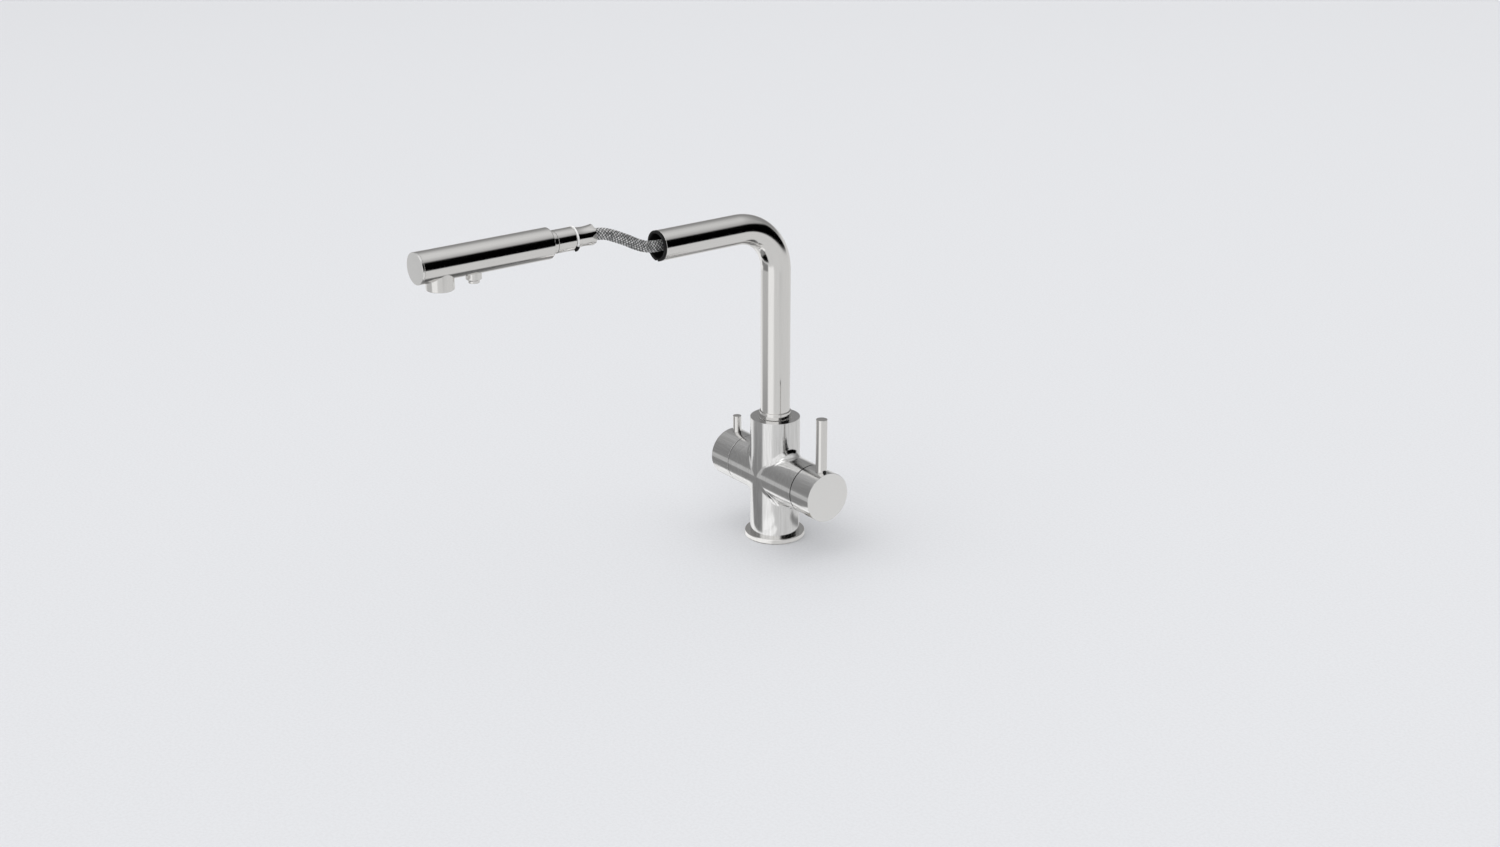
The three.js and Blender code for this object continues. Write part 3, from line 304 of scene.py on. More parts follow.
def braid_weave(board: Board, entry: Node) -> dict[str, Socket]:
    """Weaves two sets of slanted strands round Z; each cell shows the one that lies on top.

    Args:
        board: the group's board.
        entry: its input node, with the coordinates, the strands and their lead.

    Returns:
        The group's outputs.
    """
    x, y, z = board.add("ShaderNodeSeparateXYZ", {0: entry.outputs["Vector"]}).outputs
    around = board.reckon("DIVIDE", board.reckon("ARCTAN2", y, x), FULL_TURN)
    along = board.reckon("DIVIDE", z, entry.outputs["Lead"])
    rising = board.times(board.plus(around, along), entry.outputs["Strands"])
    falling = board.times(board.minus(around, along), entry.outputs["Strands"])
    cells = board.plus(board.reckon("FLOOR", rising), board.reckon("FLOOR", falling))
    above = board.reckon("MODULO", board.reckon("ABSOLUTE", cells), 2.0)
    under = board.minus(1.0, above)

    def on_top(rise: Socket, fall: Socket) -> Socket:
        """Takes the first value where the rising strand is above, and the second elsewhere."""
        return board.plus(board.times(rise, above), board.times(fall, under))

    arcs = [board.reckon("SINE", board.times(board.reckon("FRACT", strand), HALF_TURN))
            for strand in (rising, falling)]
    across, other = on_top(*arcs), on_top(*reversed(arcs))
    crown = board.times(board.reckon("POWER", across, 0.5), board.spread(other, 0.55, 1.0))
    turns = board.times(on_top(rising, falling), WIRES_PER_STRAND * FULL_TURN)
    return {"Crown": crown, "Above": above, "Wires": board.reckon("SINE", turns)}


def moulded_skin(board: Board, entry: Node) -> dict[str, Socket]:
    """Gives moulded plastic and rubber a fine pitted skin and soft clouds.

    Args:
        board: the group's board.
        entry: its input node, with the coordinates and the pits' fineness.

    Returns:
        The group's outputs.
    """
    where = entry.outputs["Vector"]
    cells = board.add("ShaderNodeTexVoronoi", {"Vector": where, "Scale": entry.outputs["Fineness"]})
    cloud = board.noise(where, SKIN_CLOUD_FINENESS, 3.0)
    return {"Pits": cells.outputs["Distance"], "Cloud": cloud}


# ---- finishes
@dataclass(frozen=True)
class Finish:
    """A finish: its material's name, the record's slot, and where its pattern lies."""

    name: str
    slot: str = ""
    coordinates: Coordinates = Coordinates.GRAIN

    def material(self) -> bpy.types.Material:
        """Makes the finish's material the first time it is asked for.

        Returns:
            The material.
        """
        made = bpy.data.materials.get(self.name)
        if made is None:
            made = bpy.data.materials.new(self.name)
            board = Board.cleared(made)
            shader = board.add("ShaderNodeBsdfPrincipled", self.look(board))
            board.add("ShaderNodeOutputMaterial", {"Surface": shader.outputs[0]})
        return made

    def where(self, board: Board) -> Socket:
        """Finds the coordinates that the finish's pattern lies in.

        Args:
            board: the material's board.

        Returns:
            The coordinates' socket.
        """
        if self.coordinates is Coordinates.GRAIN:
            node = board.add("ShaderNodeAttribute", attribute_name=GRAIN, attribute_type="GEOMETRY")
            return node.outputs["Vector"]
        return board.add("ShaderNodeTexCoord").outputs["Object"]

    def look(self, board: Board) -> dict[str, object]:
        """Gives the inputs of the Principled shader by name; each finish has its own."""
        raise NotImplementedError


@dataclass(frozen=True)
class BrushedSteel(Finish):
    """Stainless steel with fine polishing lines along the piece, a little rubbed at its edges."""

    slot: str = "brushed_steel"
    colour: Colour = (0.80, 0.79, 0.775)
    rubbed: Colour = (0.9, 0.895, 0.885)
    smoothest: float = 0.09
    roughest: float = 0.16
    contrast: float = 0.06
    edge_width: float = 0.0006
    edge_share: float = 0.5
    depth: float = 0.00002
    strength: float = 0.25

    def look(self, board: Board) -> dict[str, object]:
        """Gives the steel's look.

        Args:
            board: the material's board.

        Returns:
            The shader's inputs.
        """
        lines = board.use(polishing_lines, Vector=self.where(board))
        edge = board.use(handled_edges, Width=self.edge_width)["Edge"]
        dull = tuple((1.0 - self.contrast) * part for part in self.colour)
        bright = tuple(min(1.0, (1.0 + self.contrast) * part) for part in self.colour)
        toned = board.blend(lines["Lines"], dull, bright)
        uneven = board.times(board.plus(lines["Streak"], lines["Cloud"]), 0.5)
        return {
            "Base Color": board.blend(board.times(edge, self.edge_share), toned, self.rubbed),
            "Metallic": 1.0,
            "Roughness": board.spread(uneven, self.smoothest, self.roughest),
            "Normal": board.bump(lines["Lines"], self.depth, self.strength),
        }


@dataclass(frozen=True)
class Brass(Finish):
    """Plain turned brass, a little darker where it was handled."""

    colour: Colour = (0.78, 0.60, 0.32)
    aged_share: float = 0.72
    smoothest: float = 0.24
    roughest: float = 0.42
    depth: float = 0.00003
    strength: float = 0.3

    def look(self, board: Board) -> dict[str, object]:
        """Gives the brass's look.

        Args:
            board: the material's board.

        Returns:
            The shader's inputs.
        """
        lines = board.use(polishing_lines, Vector=self.where(board))
        aged = tuple(self.aged_share * part for part in self.colour)
        return {
            "Base Color": board.blend(lines["Cloud"], aged, self.colour),
            "Metallic": 1.0,
            "Roughness": board.spread(lines["Lines"], self.smoothest, self.roughest),
            "Normal": board.bump(lines["Lines"], self.depth, self.strength),
        }


@dataclass(frozen=True)
class Moulded(Finish):
    """Moulded plastic or rubber with a fine skin."""

    colour: Colour = (0.02, 0.02, 0.021)
    roughness: float = 0.42
    fineness: float = 2600.0
    depth: float = 0.00003
    shine: float = 0.5
    strength: float = 0.35
    smoother: float = 0.06
    rougher: float = 0.08
    fading: float = 1.12
    chalk: float = 0.004

    def look(self, board: Board) -> dict[str, object]:
        """Gives the moulding's look.

        Args:
            board: the material's board.

        Returns:
            The shader's inputs.
        """
        skin = board.use(moulded_skin, Vector=self.where(board), Fineness=self.fineness)
        faded = tuple(min(1.0, self.fading * part + self.chalk) for part in self.colour)
        low, high = self.roughness - self.smoother, self.roughness + self.rougher
        return {
            "Base Color": board.blend(skin["Cloud"], self.colour, faded),
            "Specular IOR Level": self.shine,
            "Roughness": board.spread(skin["Cloud"], low, high),
            "Normal": board.bump(skin["Pits"], self.depth, self.strength),
        }


@dataclass(frozen=True)
class Braid(Finish):
    """The hose's woven cover: grey strands of fine wires, crossing each other, with painted shade
    in the grooves between them.
    """

    pale: Colour = (0.92, 0.92, 0.92)
    painted_groove_shade: Colour = (0.04, 0.041, 0.042)
    bright: Colour = (0.97, 0.97, 0.97)
    metal: float = 0.5
    speck_fineness: float = 330.0
    speck_band: tuple[float, float] = (0.40, 0.56)
    speck_shade: float = 0.45
    crown_band: tuple[float, float] = (0.35, 0.9)
    wire_shade: float = 0.92
    strands: float = 10.0
    lead: float = 0.030
    roughest: float = 0.62
    smoothest: float = 0.42
    depth: float = 0.00035
    strength: float = 0.8

    def look(self, board: Board) -> dict[str, object]:
        """Gives the braid's look.

        Args:
            board: the material's board.

        Returns:
            The shader's inputs.
        """
        where = self.where(board)
        weave = board.use(braid_weave, Vector=where, Strands=self.strands, Lead=self.lead)
        wires = board.spread(weave["Wires"], self.wire_shade, 1.0)
        crown = board.reckon("MULTIPLY", weave["Crown"], wires, clamp=True)
        specks = board.ease(board.noise(where, self.speck_fineness), *self.speck_band)
        shade = board.spread(specks, self.speck_shade, 1.0)
        # Painted shade: where a strand's crown falls away, at its edges, over the gaps and across
        # each wire, the colour goes to the near-black groove shade, and the strand on top gets a
        # lighter colour than the one beneath.
        top = board.times(board.ease(crown, *self.crown_band), shade)
        lit = board.blend(weave["Above"], self.pale, self.bright)
        return {
            "Base Color": board.blend(top, self.painted_groove_shade, lit),
            "Metallic": self.metal,
            "Roughness": board.spread(crown, self.roughest, self.smoothest),
            "Normal": board.bump(crown, self.depth, self.strength),
        }


@dataclass(frozen=True)
class PaleFloor(Finish):
    """The pale, faintly speckled ground that the tap stands on."""

    coordinates: Coordinates = Coordinates.OBJECT
    colour: Colour = (0.775, 0.785, 0.81)
    speckle: Colour = (0.745, 0.752, 0.775)
    fineness: float = 420.0
    speck_band: tuple[float, float] = (0.35, 0.62)
    shine: float = 0.1
    smoothest: float = 0.8
    roughest: float = 0.95

    def look(self, board: Board) -> dict[str, object]:
        """Gives the floor's look.

        Args:
            board: the material's board.

        Returns:
            The shader's inputs.
        """
        fine = board.noise(self.where(board), self.fineness, 3.0, 0.7)
        specks = board.ease(fine, *self.speck_band)
        return {
            "Base Color": board.blend(specks, self.speckle, self.colour),
            "Specular IOR Level": self.shine,
            "Roughness": board.spread(fine, self.smoothest, self.roughest),
        }


STEEL = BrushedSteel("brushed_steel_skin")
BODY_STEEL = BrushedSteel("body_steel_skin", smoothest=0.1, roughest=0.19, contrast=0.34,
                          depth=0.00006)
# The end discs' steel is rougher, as a faced surface is, and painted a lighter colour than the rest
# so that the discs render brighter.
LIGHTENED_DISC_STEEL = BrushedSteel("end_disc_steel_painted_lighter", smoothest=0.2, roughest=0.28,
                          colour=(0.93, 0.925, 0.915))
COLLAR_BLACK = Moulded("black_collar_skin", "black_plastic", colour=(0.006, 0.006, 0.0063),
                       shine=0.18)
RING_WHITE = Moulded("white_ring_skin", "white_plastic", colour=(0.9, 0.9, 0.89), roughness=0.38)
INSERT_GREY = Moulded("grey_insert_skin", "grey_plastic", colour=(0.25, 0.26, 0.27),
                      roughness=0.45)
HOSE_COVER = Braid("hose_cover", "hose_braid")

# What shows on the model's own parts that keep their CAD shape.
INSIDE = Coordinates.OBJECT
CORE_FINISHES: tuple[Finish, ...] = (
    BrushedSteel("brushed_steel_core", "brushed_steel", INSIDE),
    BrushedSteel("plain_steel_core", "plain_steel", INSIDE, smoothest=0.28, roughest=0.4),
    Brass("brass_core", "brass", INSIDE),
    Moulded("rubber_core", "rubber", INSIDE, (0.018, 0.018, 0.018), 0.7),
    Moulded("black_plastic_core", "black_plastic", INSIDE),
    Moulded("white_plastic_core", "white_plastic", INSIDE, (0.75, 0.75, 0.74)),
    Moulded("grey_plastic_core", "grey_plastic", INSIDE, (0.3, 0.31, 0.32)),
    Moulded("hose_braid_core", "hose_braid", INSIDE, (0.2, 0.2, 0.21)),
)


# ---- bench work
def rod_profile(radius: float, low: float, high: float) -> Profile:
    """Gives the profile of a solid rod between two heights."""
    return [(0.0, low), (radius, low), (radius, high), (0.0, high)]


def ring_profile(inner: float, outer: float, low: float, high: float) -> Profile:
    """Gives the profile of a plain ring between two heights."""
    return [(inner, low), (outer, low), (outer, high), (inner, high), (inner, low)]


def break_edges(piece: Mesh, size: float, segments: int = 3,
                chosen: Callable[[Edge], bool] = lambda edge: True) -> None:
    """Rounds the sharp edges of a mesh.

    Args:
        piece: the mesh.
        size: how far the rounding reaches from an edge.
        segments: how many faces it has across.
        chosen: says which of the sharp edges are rounded.
    """
    sharp = [edge for edge in piece.edges if len(edge.link_faces) == 2
             and edge.calc_face_angle() > SHARP_EDGE and chosen(edge)]
    bmesh.ops.bevel(
        piece, geom=sharp, offset=size, offset_type="OFFSET", segments=segments, profile=0.5,
        affect="EDGES", clamp_overlap=True, material=-1,
    )


def turned(profile: Profile, edge: float = 0.0, segments: int = 3,
           steps: int = ROUND_STEPS) -> Mesh:
    """Turns a profile about the Z axis.

    Args:
        profile: points as (radius, height); a closed one ends on its first point.
        edge: how far its edges are rounded.
        segments: how many faces that rounding has across.
        steps: how many steps the full turn has.

    Returns:
        The turned mesh, with its faces outwards.
    """
    mesh = bmesh.new()
    closed = profile[0] == profile[-1]
    places = profile[:-1] if closed else profile
    corners = [mesh.verts.new((radius, 0.0, height)) for radius, height in places]
    edges = [mesh.edges.new(pair) for pair in zip(corners, corners[1:])]
    if closed:
        edges.append(mesh.edges.new((corners[-1], corners[0])))
    bmesh.ops.spin(
        mesh, geom=corners + edges, cent=(0, 0, 0), axis=(0, 0, 1), angle=FULL_TURN,
        steps=steps, use_merge=True,
    )
    bmesh.ops.remove_doubles(mesh, verts=mesh.verts, dist=MERGED)
    bmesh.ops.recalc_face_normals(mesh, faces=mesh.faces)
    if edge:
        break_edges(mesh, edge, segments)
    return mesh


def extruded(mesh: Mesh, rim: Sequence[Edge]) -> tuple[list[Corner], list[Edge]]:
    """Extrudes a rim, whose new corners still lie on the old ones.

    Args:
        mesh: the mesh.
        rim: the rim's edges.

    Returns:
        The new corners, and the new rim's edges.
    """
    made = bmesh.ops.extrude_edge_only(mesh, edges=rim)["geom"]
    corners = [item for item in made if isinstance(item, Corner)]
    known = set(corners)
    return corners, [item for item in made if isinstance(item, Edge) and set(item.verts) <= known]


def to_piece(mesh: Mesh, name: str, place: Matrix = HERE) -> Piece:
    """Puts a mesh in the scene as an object at the origin.

    Args:
        mesh: the mesh, which is freed.
        name: the object's name.
        place: a matrix that moves the mesh first.

    Returns:
        The object.
    """
    bmesh.ops.transform(mesh, matrix=place, verts=mesh.verts)
    data = bpy.data.meshes.new(name)
    mesh.to_mesh(data)
    mesh.free()
    piece = bpy.data.objects.new(name, data)
    bpy.context.scene.collection.objects.link(piece)
    return piece


def drill(radius: float, low: float, high: float, place: Matrix = HERE,
          steps: int = ROUND_STEPS) -> Piece:
    """Makes a round cutter about the Z axis and lays it in its place."""
    return to_piece(turned(rod_profile(radius, low, high), steps=steps), "drill", place)


def block(size: Point, where: Matrix, place: Matrix = HERE) -> Piece:
    """Makes a square cutter.

    Args:
        size: its sides.
        where: its middle and turn.
        place: a matrix that lays it in its place.

    Returns:
        The cutter.
    """
    mesh = bmesh.new()
    bmesh.ops.create_cube(mesh, size=1.0, matrix=where @ Matrix.Diagonal((*size, 1.0)))
    return to_piece(mesh, "block", place)


def cut_away(piece: Piece, cutters: Sequence[Piece]) -> None:
    """Cuts solids out of a piece and throws them away.

    Args:
        piece: the piece, whose mesh is replaced by the cut one.
        cutters: the solids.
    """
    for cutter in cutters:
        cut = piece.modifiers.new("cut", "BOOLEAN")
        cut.operation = "DIFFERENCE"
        cut.solver = "EXACT"
        cut.object = cutter
    bpy.context.view_layer.update()
    seen = piece.evaluated_get(bpy.context.evaluated_depsgraph_get())
    whole = piece.data
    result = bpy.data.meshes.new_from_object(seen)
    piece.modifiers.clear()
    piece.data = result
    result.name = piece.name
    bpy.data.meshes.remove(whole)
    for cutter in cutters:
        bpy.data.objects.remove(cutter)


def dress(piece: Piece, finish: Finish, grain_at: Callable[[Vector], Vector],
          sharp: float = 50.0) -> None:
    """Gives a piece its finish, its polishing direction and clean shading.

    Args:
        piece: the piece.
        finish: its finish.
        grain_at: takes a point of the piece to the frame that its pattern lies in.
        sharp: the angle in degrees from which an edge is shaded as sharp.
    """
    data = piece.data
    grain = data.attributes.new(GRAIN, "FLOAT_VECTOR", "POINT")
    for vertex, entry in zip(data.vertices, grain.data):
        entry.vector = grain_at(vertex.co)
    for polygon in data.polygons:
        polygon.use_smooth = True
    data.set_sharp_from_angle(angle=math.radians(sharp))
    weighted = piece.modifiers.new("even_shading", "WEIGHTED_NORMAL")
    weighted.keep_sharp = True
    weighted.weight = 80
    data.materials.clear()
    data.materials.append(finish.material())


def fit(piece: Piece, body: str, slot: str, *nodes: str) -> None:
    """Fits a finished piece to the body it moves with, in place of its CAD nodes.

    Args:
        piece: the piece.
        body: the CAD body that it rides on.
        slot: the record's material slot; not used.
        *nodes: the CAD nodes that it stands for.
    """
    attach(piece, body)
    if nodes:
        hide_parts(*nodes)
    LOG.info("%s: %d faces, rides on %s", piece.name, len(piece.data.polygons), body)


@dataclass(kw_only=True)
class SubAssembly:
    """Pieces that ride on one body and lie, if nothing else is said, along one axis."""

    body: str = "body"
    lie: Lie = Lie.UPRIGHT

    def make(self, mesh: Mesh, name: str, *nodes: str, finish: Finish = STEEL,
             place: Matrix | None = None, grain_at: Callable[[Vector], Vector] | None = None,
             cutters: Sequence[Piece] = (), sharp: float = 50.0) -> Piece:
        """Makes a mesh a finished piece of the sub-assembly.

        Args:
            mesh: the mesh, as it was shaped about the Z axis.
            name: the piece's name.
            *nodes: the CAD nodes that it stands for.
            finish: its finish.
            place: where it goes, if it doesn't lie as the sub-assembly does.
            grain_at: takes a point to the frame of its pattern, if that isn't its place's own.
            cutters: solids that are cut out of it.
            sharp: the angle in degrees from which an edge is shaded as sharp.

        Returns:
            The piece.
        """
        place = self.lie.place() if place is None else place
        piece = to_piece(mesh, name, place)
        if cutters:
            cut_away(piece, cutters)
        back = place.inverted()
        dress(piece, finish, grain_at or (lambda point: back @ point), sharp)
        fit(piece, self.body, finish.slot, *nodes)
        return piece


# ---- the studio
@dataclass(frozen=True)
class Patch:
    """A darker or brighter part of the studio's surround, by direction in degrees."""

    azimuth: float
    half_width: float
    low: float
    high: float
    side_softness: float
    low_softness: float
    high_softness: float
    level: float
    low_slope: float = 0.0
    high_slope: float = 0.0

    def mask(self, board: Board, azimuth: Socket, elevation: Socket) -> Socket:
        """Adds the nodes for the patch's mask.

        Args:
            board: the world's board.
            azimuth: the direction's azimuth in degrees, from +X towards +Y.
            elevation: its elevation in degrees.

        Returns:
            A value of 1 in the patch and 0 outside it.
        """
        aside = board.reckon("WRAP", board.minus(azimuth, self.azimuth), 180.0, -180.0)
        outer = self.half_width + self.side_softness
        sides = board.ease(board.reckon("ABSOLUTE", aside), outer, self.half_width)
        bottom = board.minus(elevation, board.times(aside, self.low_slope))
        top = board.minus(elevation, board.times(aside, self.high_slope))
        below = board.ease(bottom, self.low - self.low_softness, self.low)
        above = board.ease(top, self.high + self.high_softness, self.high)
        return board.times(sides, board.times(below, above))


@dataclass(frozen=True)
class Card:
    """A soft-edged card on the floor that only the steel mirrors."""

    name: str
    centre: tuple[float, float]
    width: float
    depth: float
    softness: float
    level: float
    lift: float = 0.001

    def lay(self) -> None:
        """Lays the card on the floor, where neither the camera nor the light sees it."""
        mesh = bmesh.new()
        size = Matrix.Diagonal((self.width, self.depth, 1.0, 1.0))
        place = Matrix.Translation((*self.centre, self.lift))
        bmesh.ops.create_grid(mesh, x_segments=1, y_segments=1, size=0.5, matrix=place @ size)
        card = to_piece(mesh, self.name)
        card.data.materials.append(self.material())
        for ray in ("camera", "diffuse", "shadow", "transmission"):
            setattr(card, f"visible_{ray}", False)

    def material(self) -> bpy.types.Material:
        """Makes the card's even glow, which fades out along its edges.

        Returns:
            The material.
        """
        made = bpy.data.materials.new(self.name)
        board = Board.cleared(made)
        where = board.add("ShaderNodeTexCoord").outputs["Object"]
        parts = board.add("ShaderNodeSeparateXYZ", {0: where}).outputs
        shares = []
        for value, centre, size in zip(parts, self.centre, (self.width, self.depth)):
            off = board.reckon("ABSOLUTE", board.minus(value, centre))
            shares.append(board.ease(off, size / 2, size / 2 - self.softness))
        clear = board.add("ShaderNodeBsdfTransparent")
        glow = board.add("ShaderNodeEmission", {"Strength": self.level})
        entries = {0: board.times(*shares), 1: clear.outputs[0], 2: glow.outputs[0]}
        mixed = board.add("ShaderNodeMixShader", entries)
        board.add("ShaderNodeOutputMaterial", {"Surface": mixed.outputs[0]})
        return made


@dataclass
class Studio:
    """The floor, the light all round, the lamp overhead and the camera."""

    floor_size: float = 30.0
    camera_place: Point = (1.4876, -1.1437, 0.8129)
    camera_azimuth: float = math.radians(53.14)
    camera_pitch: float = math.radians(20.6)
    lens: float = 53.19
    sensor: float = 36.0
    low_level: float = 0.69
    middle_level: float = 0.42
    high_level: float = 0.73
    low_band: tuple[float, float] = (-5.0, 20.0)
    high_band: tuple[float, float] = (36.0, 64.0)
    patches: tuple[Patch, ...] = (
        Patch(-96.0, 38.0, 40.0, 60.0, 12.0, 9.0, 12.0, 1.5),
        Patch(-62.0, 42.0, -8.0, 44.0, 12.0, 8.0, 10.0, 0.95),
        Patch(-74.0, 16.0, -29.0, -10.0, 16.0, 8.0, 4.0, 0.97),
        Patch(-175.0, 22.0, -48.0, -20.0, 10.0, 8.0, 6.0, 0.92),
        Patch(172.0, 74.0, 8.0, 20.0, 12.0, 7.0, 28.0, 0.28),
        Patch(-129.0, 26.0, -24.0, -6.0, 10.0, 3.0, 3.0, 0.54),
        Patch(-142.0, 30.0, -4.0, 12.0, 10.0, 4.0, 6.0, 0.27),
        Patch(-125.0, 22.0, -38.0, -22.0, 7.0, 4.0, 4.0, 0.24),
        Patch(-146.0, 14.0, -38.0, -29.0, 8.0, 4.0, 4.0, 0.26),
        Patch(-126.0, 36.0, -76.0, -49.0, 8.0, 6.0, 8.0, 0.0),
        Patch(95.0, 40.0, -90.0, -60.0, 10.0, 1.0, 4.0, 0.12),
        Patch(127.0, 14.0, -64.0, -50.0, 8.0, 4.0, 6.0, 0.22),
        Patch(40.0, 44.0, -7.5, 33.0, 8.0, 5.0, 10.0, 0.0, 0.1, -0.3),
    )
    cards: tuple[Card, ...] = (
        Card("bright_card", (-0.035, -0.031), 0.17, 0.018, 0.004, 1.05),
        Card("pale_card", (0.034, -0.056), 0.06, 0.032, 0.006, 1.1),
        Card("grey_card", (-0.10, -0.084), 0.19, 0.08, 0.008, 0.27),
        # Painted shadow: this dim card lies where the mixer knob's shadow falls on the floor, so
        # the steel mirrors that shade, since it doesn't mirror the floor itself.
        Card("knob_shadow_card", (0.036, 0.044), 0.07, 0.036, 0.014, 0.28),
    )
    lamp_power: float = 262.0
    lamp_size: float = 12.0
    lamp_place: Point = (0.2, 0.4, 4.2)

    def camera(self) -> None:
        """Sets the camera at the photograph's place."""
        data = bpy.data.cameras.new("photo_camera")
        data.lens = self.lens
        data.sensor_width = self.sensor
        data.sensor_fit = "HORIZONTAL"
        camera = bpy.data.objects.new("photo_camera", data)
        camera.location = self.camera_place
        camera.rotation_euler = (QUARTER_TURN - self.camera_pitch, 0.0, self.camera_azimuth)
        bpy.context.scene.collection.objects.link(camera)
        bpy.context.scene.camera = camera

    def floor(self) -> None:
        """Lays the pale floor at z = 0; the steel mirrors the surround's lower half instead."""
        mesh = bmesh.new()
        bmesh.ops.create_grid(mesh, x_segments=1, y_segments=1, size=self.floor_size / 2)
        floor = to_piece(mesh, "pale_floor")
        floor.visible_glossy = False
        floor.data.materials.append(PaleFloor("pale_floor").material())

    def surround(self) -> None:
        """Makes the light that comes from all round, as soft patches by direction."""
        world = bpy.data.worlds.new("studio_surround")
        bpy.context.scene.world = world
        board = Board.cleared(world)
        where = board.add("ShaderNodeTexCoord").outputs["Generated"]
        east, north, up = board.add("ShaderNodeSeparateXYZ", {0: where}).outputs
        azimuth = board.times(board.reckon("ARCTAN2", north, east), DEGREES)
        elevation = board.times(board.reckon("ARCSINE", up), DEGREES)
        level = board.plus(
            board.ease(elevation, *self.low_band, self.low_level, self.middle_level),
            board.ease(elevation, *self.high_band, 0.0, self.high_level - self.middle_level),
        )
        for patch in self.patches:
            mask = patch.mask(board, azimuth, elevation)
            kept = board.times(level, board.minus(1.0, mask))
            level = board.plus(kept, board.times(mask, patch.level))
        light = board.add("ShaderNodeBackground", {"Color": (1.0, 1.0, 1.0), "Strength": level})
        board.add("ShaderNodeOutputWorld", {"Surface": light.outputs[0]})

    def lamp(self) -> None:
        """Hangs a broad soft lamp overhead, which the steel doesn't mirror."""
        data = bpy.data.lights.new("overhead_lamp", "AREA")
        data.shape = "SQUARE"
        data.size = self.lamp_size
        data.energy = self.lamp_power
        lamp = bpy.data.objects.new("overhead_lamp", data)
        lamp.location = self.lamp_place
        lamp.visible_glossy = False
        bpy.context.scene.collection.objects.link(lamp)

    def build(self) -> None:
        """Sets up the whole studio."""
        bpy.context.scene.view_settings.view_transform = "Standard"
        self.camera()
        self.floor()
        for card in self.cards:
            card.lay()
        self.surround()
        self.lamp()


# ---- the hose
class Route:
    """A smooth curve through chosen points, as the hose lies."""

    def __init__(self, points: Sequence[Point], per_span: int = 8) -> None:
        """Makes the route's close points.

        Args:
            points: the points that it passes.
            per_span: how many steps each span between them gets.
        """
        chosen = [Vector(point) for point in points]
        self.points = [chosen[0]]
        for index in range(len(chosen) - 1):
            self.points += [self.between(chosen, index, (step + 1) / per_span)
                            for step in range(per_span)]

    @staticmethod
    def between(chosen: Sequence[Vector], index: int, share: float) -> Vector:
        """Finds a point on one span of the curve.

        Args:
            chosen: the points that the curve passes.
            index: the span's number.
            share: how far along the span, from 0 to 1.

        Returns:
            The point.
        """
        here, there = chosen[index], chosen[index + 1]
        before = chosen[index - 1] if index > 0 else 2 * here - there
        after = chosen[index + 2] if index + 2 < len(chosen) else 2 * there - here
        spans = ((before, here), (here, there), (there, after))
        first, middle, last = (math.sqrt((b - a).length) for a, b in spans)
        way = there - here
        leaving = (here - before) / first - (there - before) / (first + middle) + way / middle
        arriving = way / middle - (after - here) / (middle + last) + (after - there) / last
        leaving *= middle
        arriving *= middle
        square = 3 * way - 2 * leaving - arriving
        cube = 2 * (here - there) + leaving + arriving
        return here + leaving * share + square * share ** 2 + cube * share ** 3

    def length(self) -> float:
        """Measures the route."""
        return sum((b - a).length for a, b in zip(self.points, self.points[1:]))

    def frames(self) -> list[Matrix]:
        """Finds a frame at each point, with Z along the route and no twist between them.

        Returns:
            The frames.
        """
        points = self.points
        last = len(points) - 1
        frames: list[Matrix] = []
        across = Vector((1.0, 0.0, 0.0))
        for index, point in enumerate(points):
            along = (points[min(index + 1, last)] - points[max(index - 1, 0)]).normalized()
            if abs(across.dot(along)) > FACES_SO:
                across = Vector((0.0, 0.0, 1.0))
            across = (across - along * across.dot(along)).normalized()
            turn = Matrix((across, along.cross(across), along)).transposed()
            frames.append(Matrix.Translation(point) @ turn.to_4x4())
        return frames


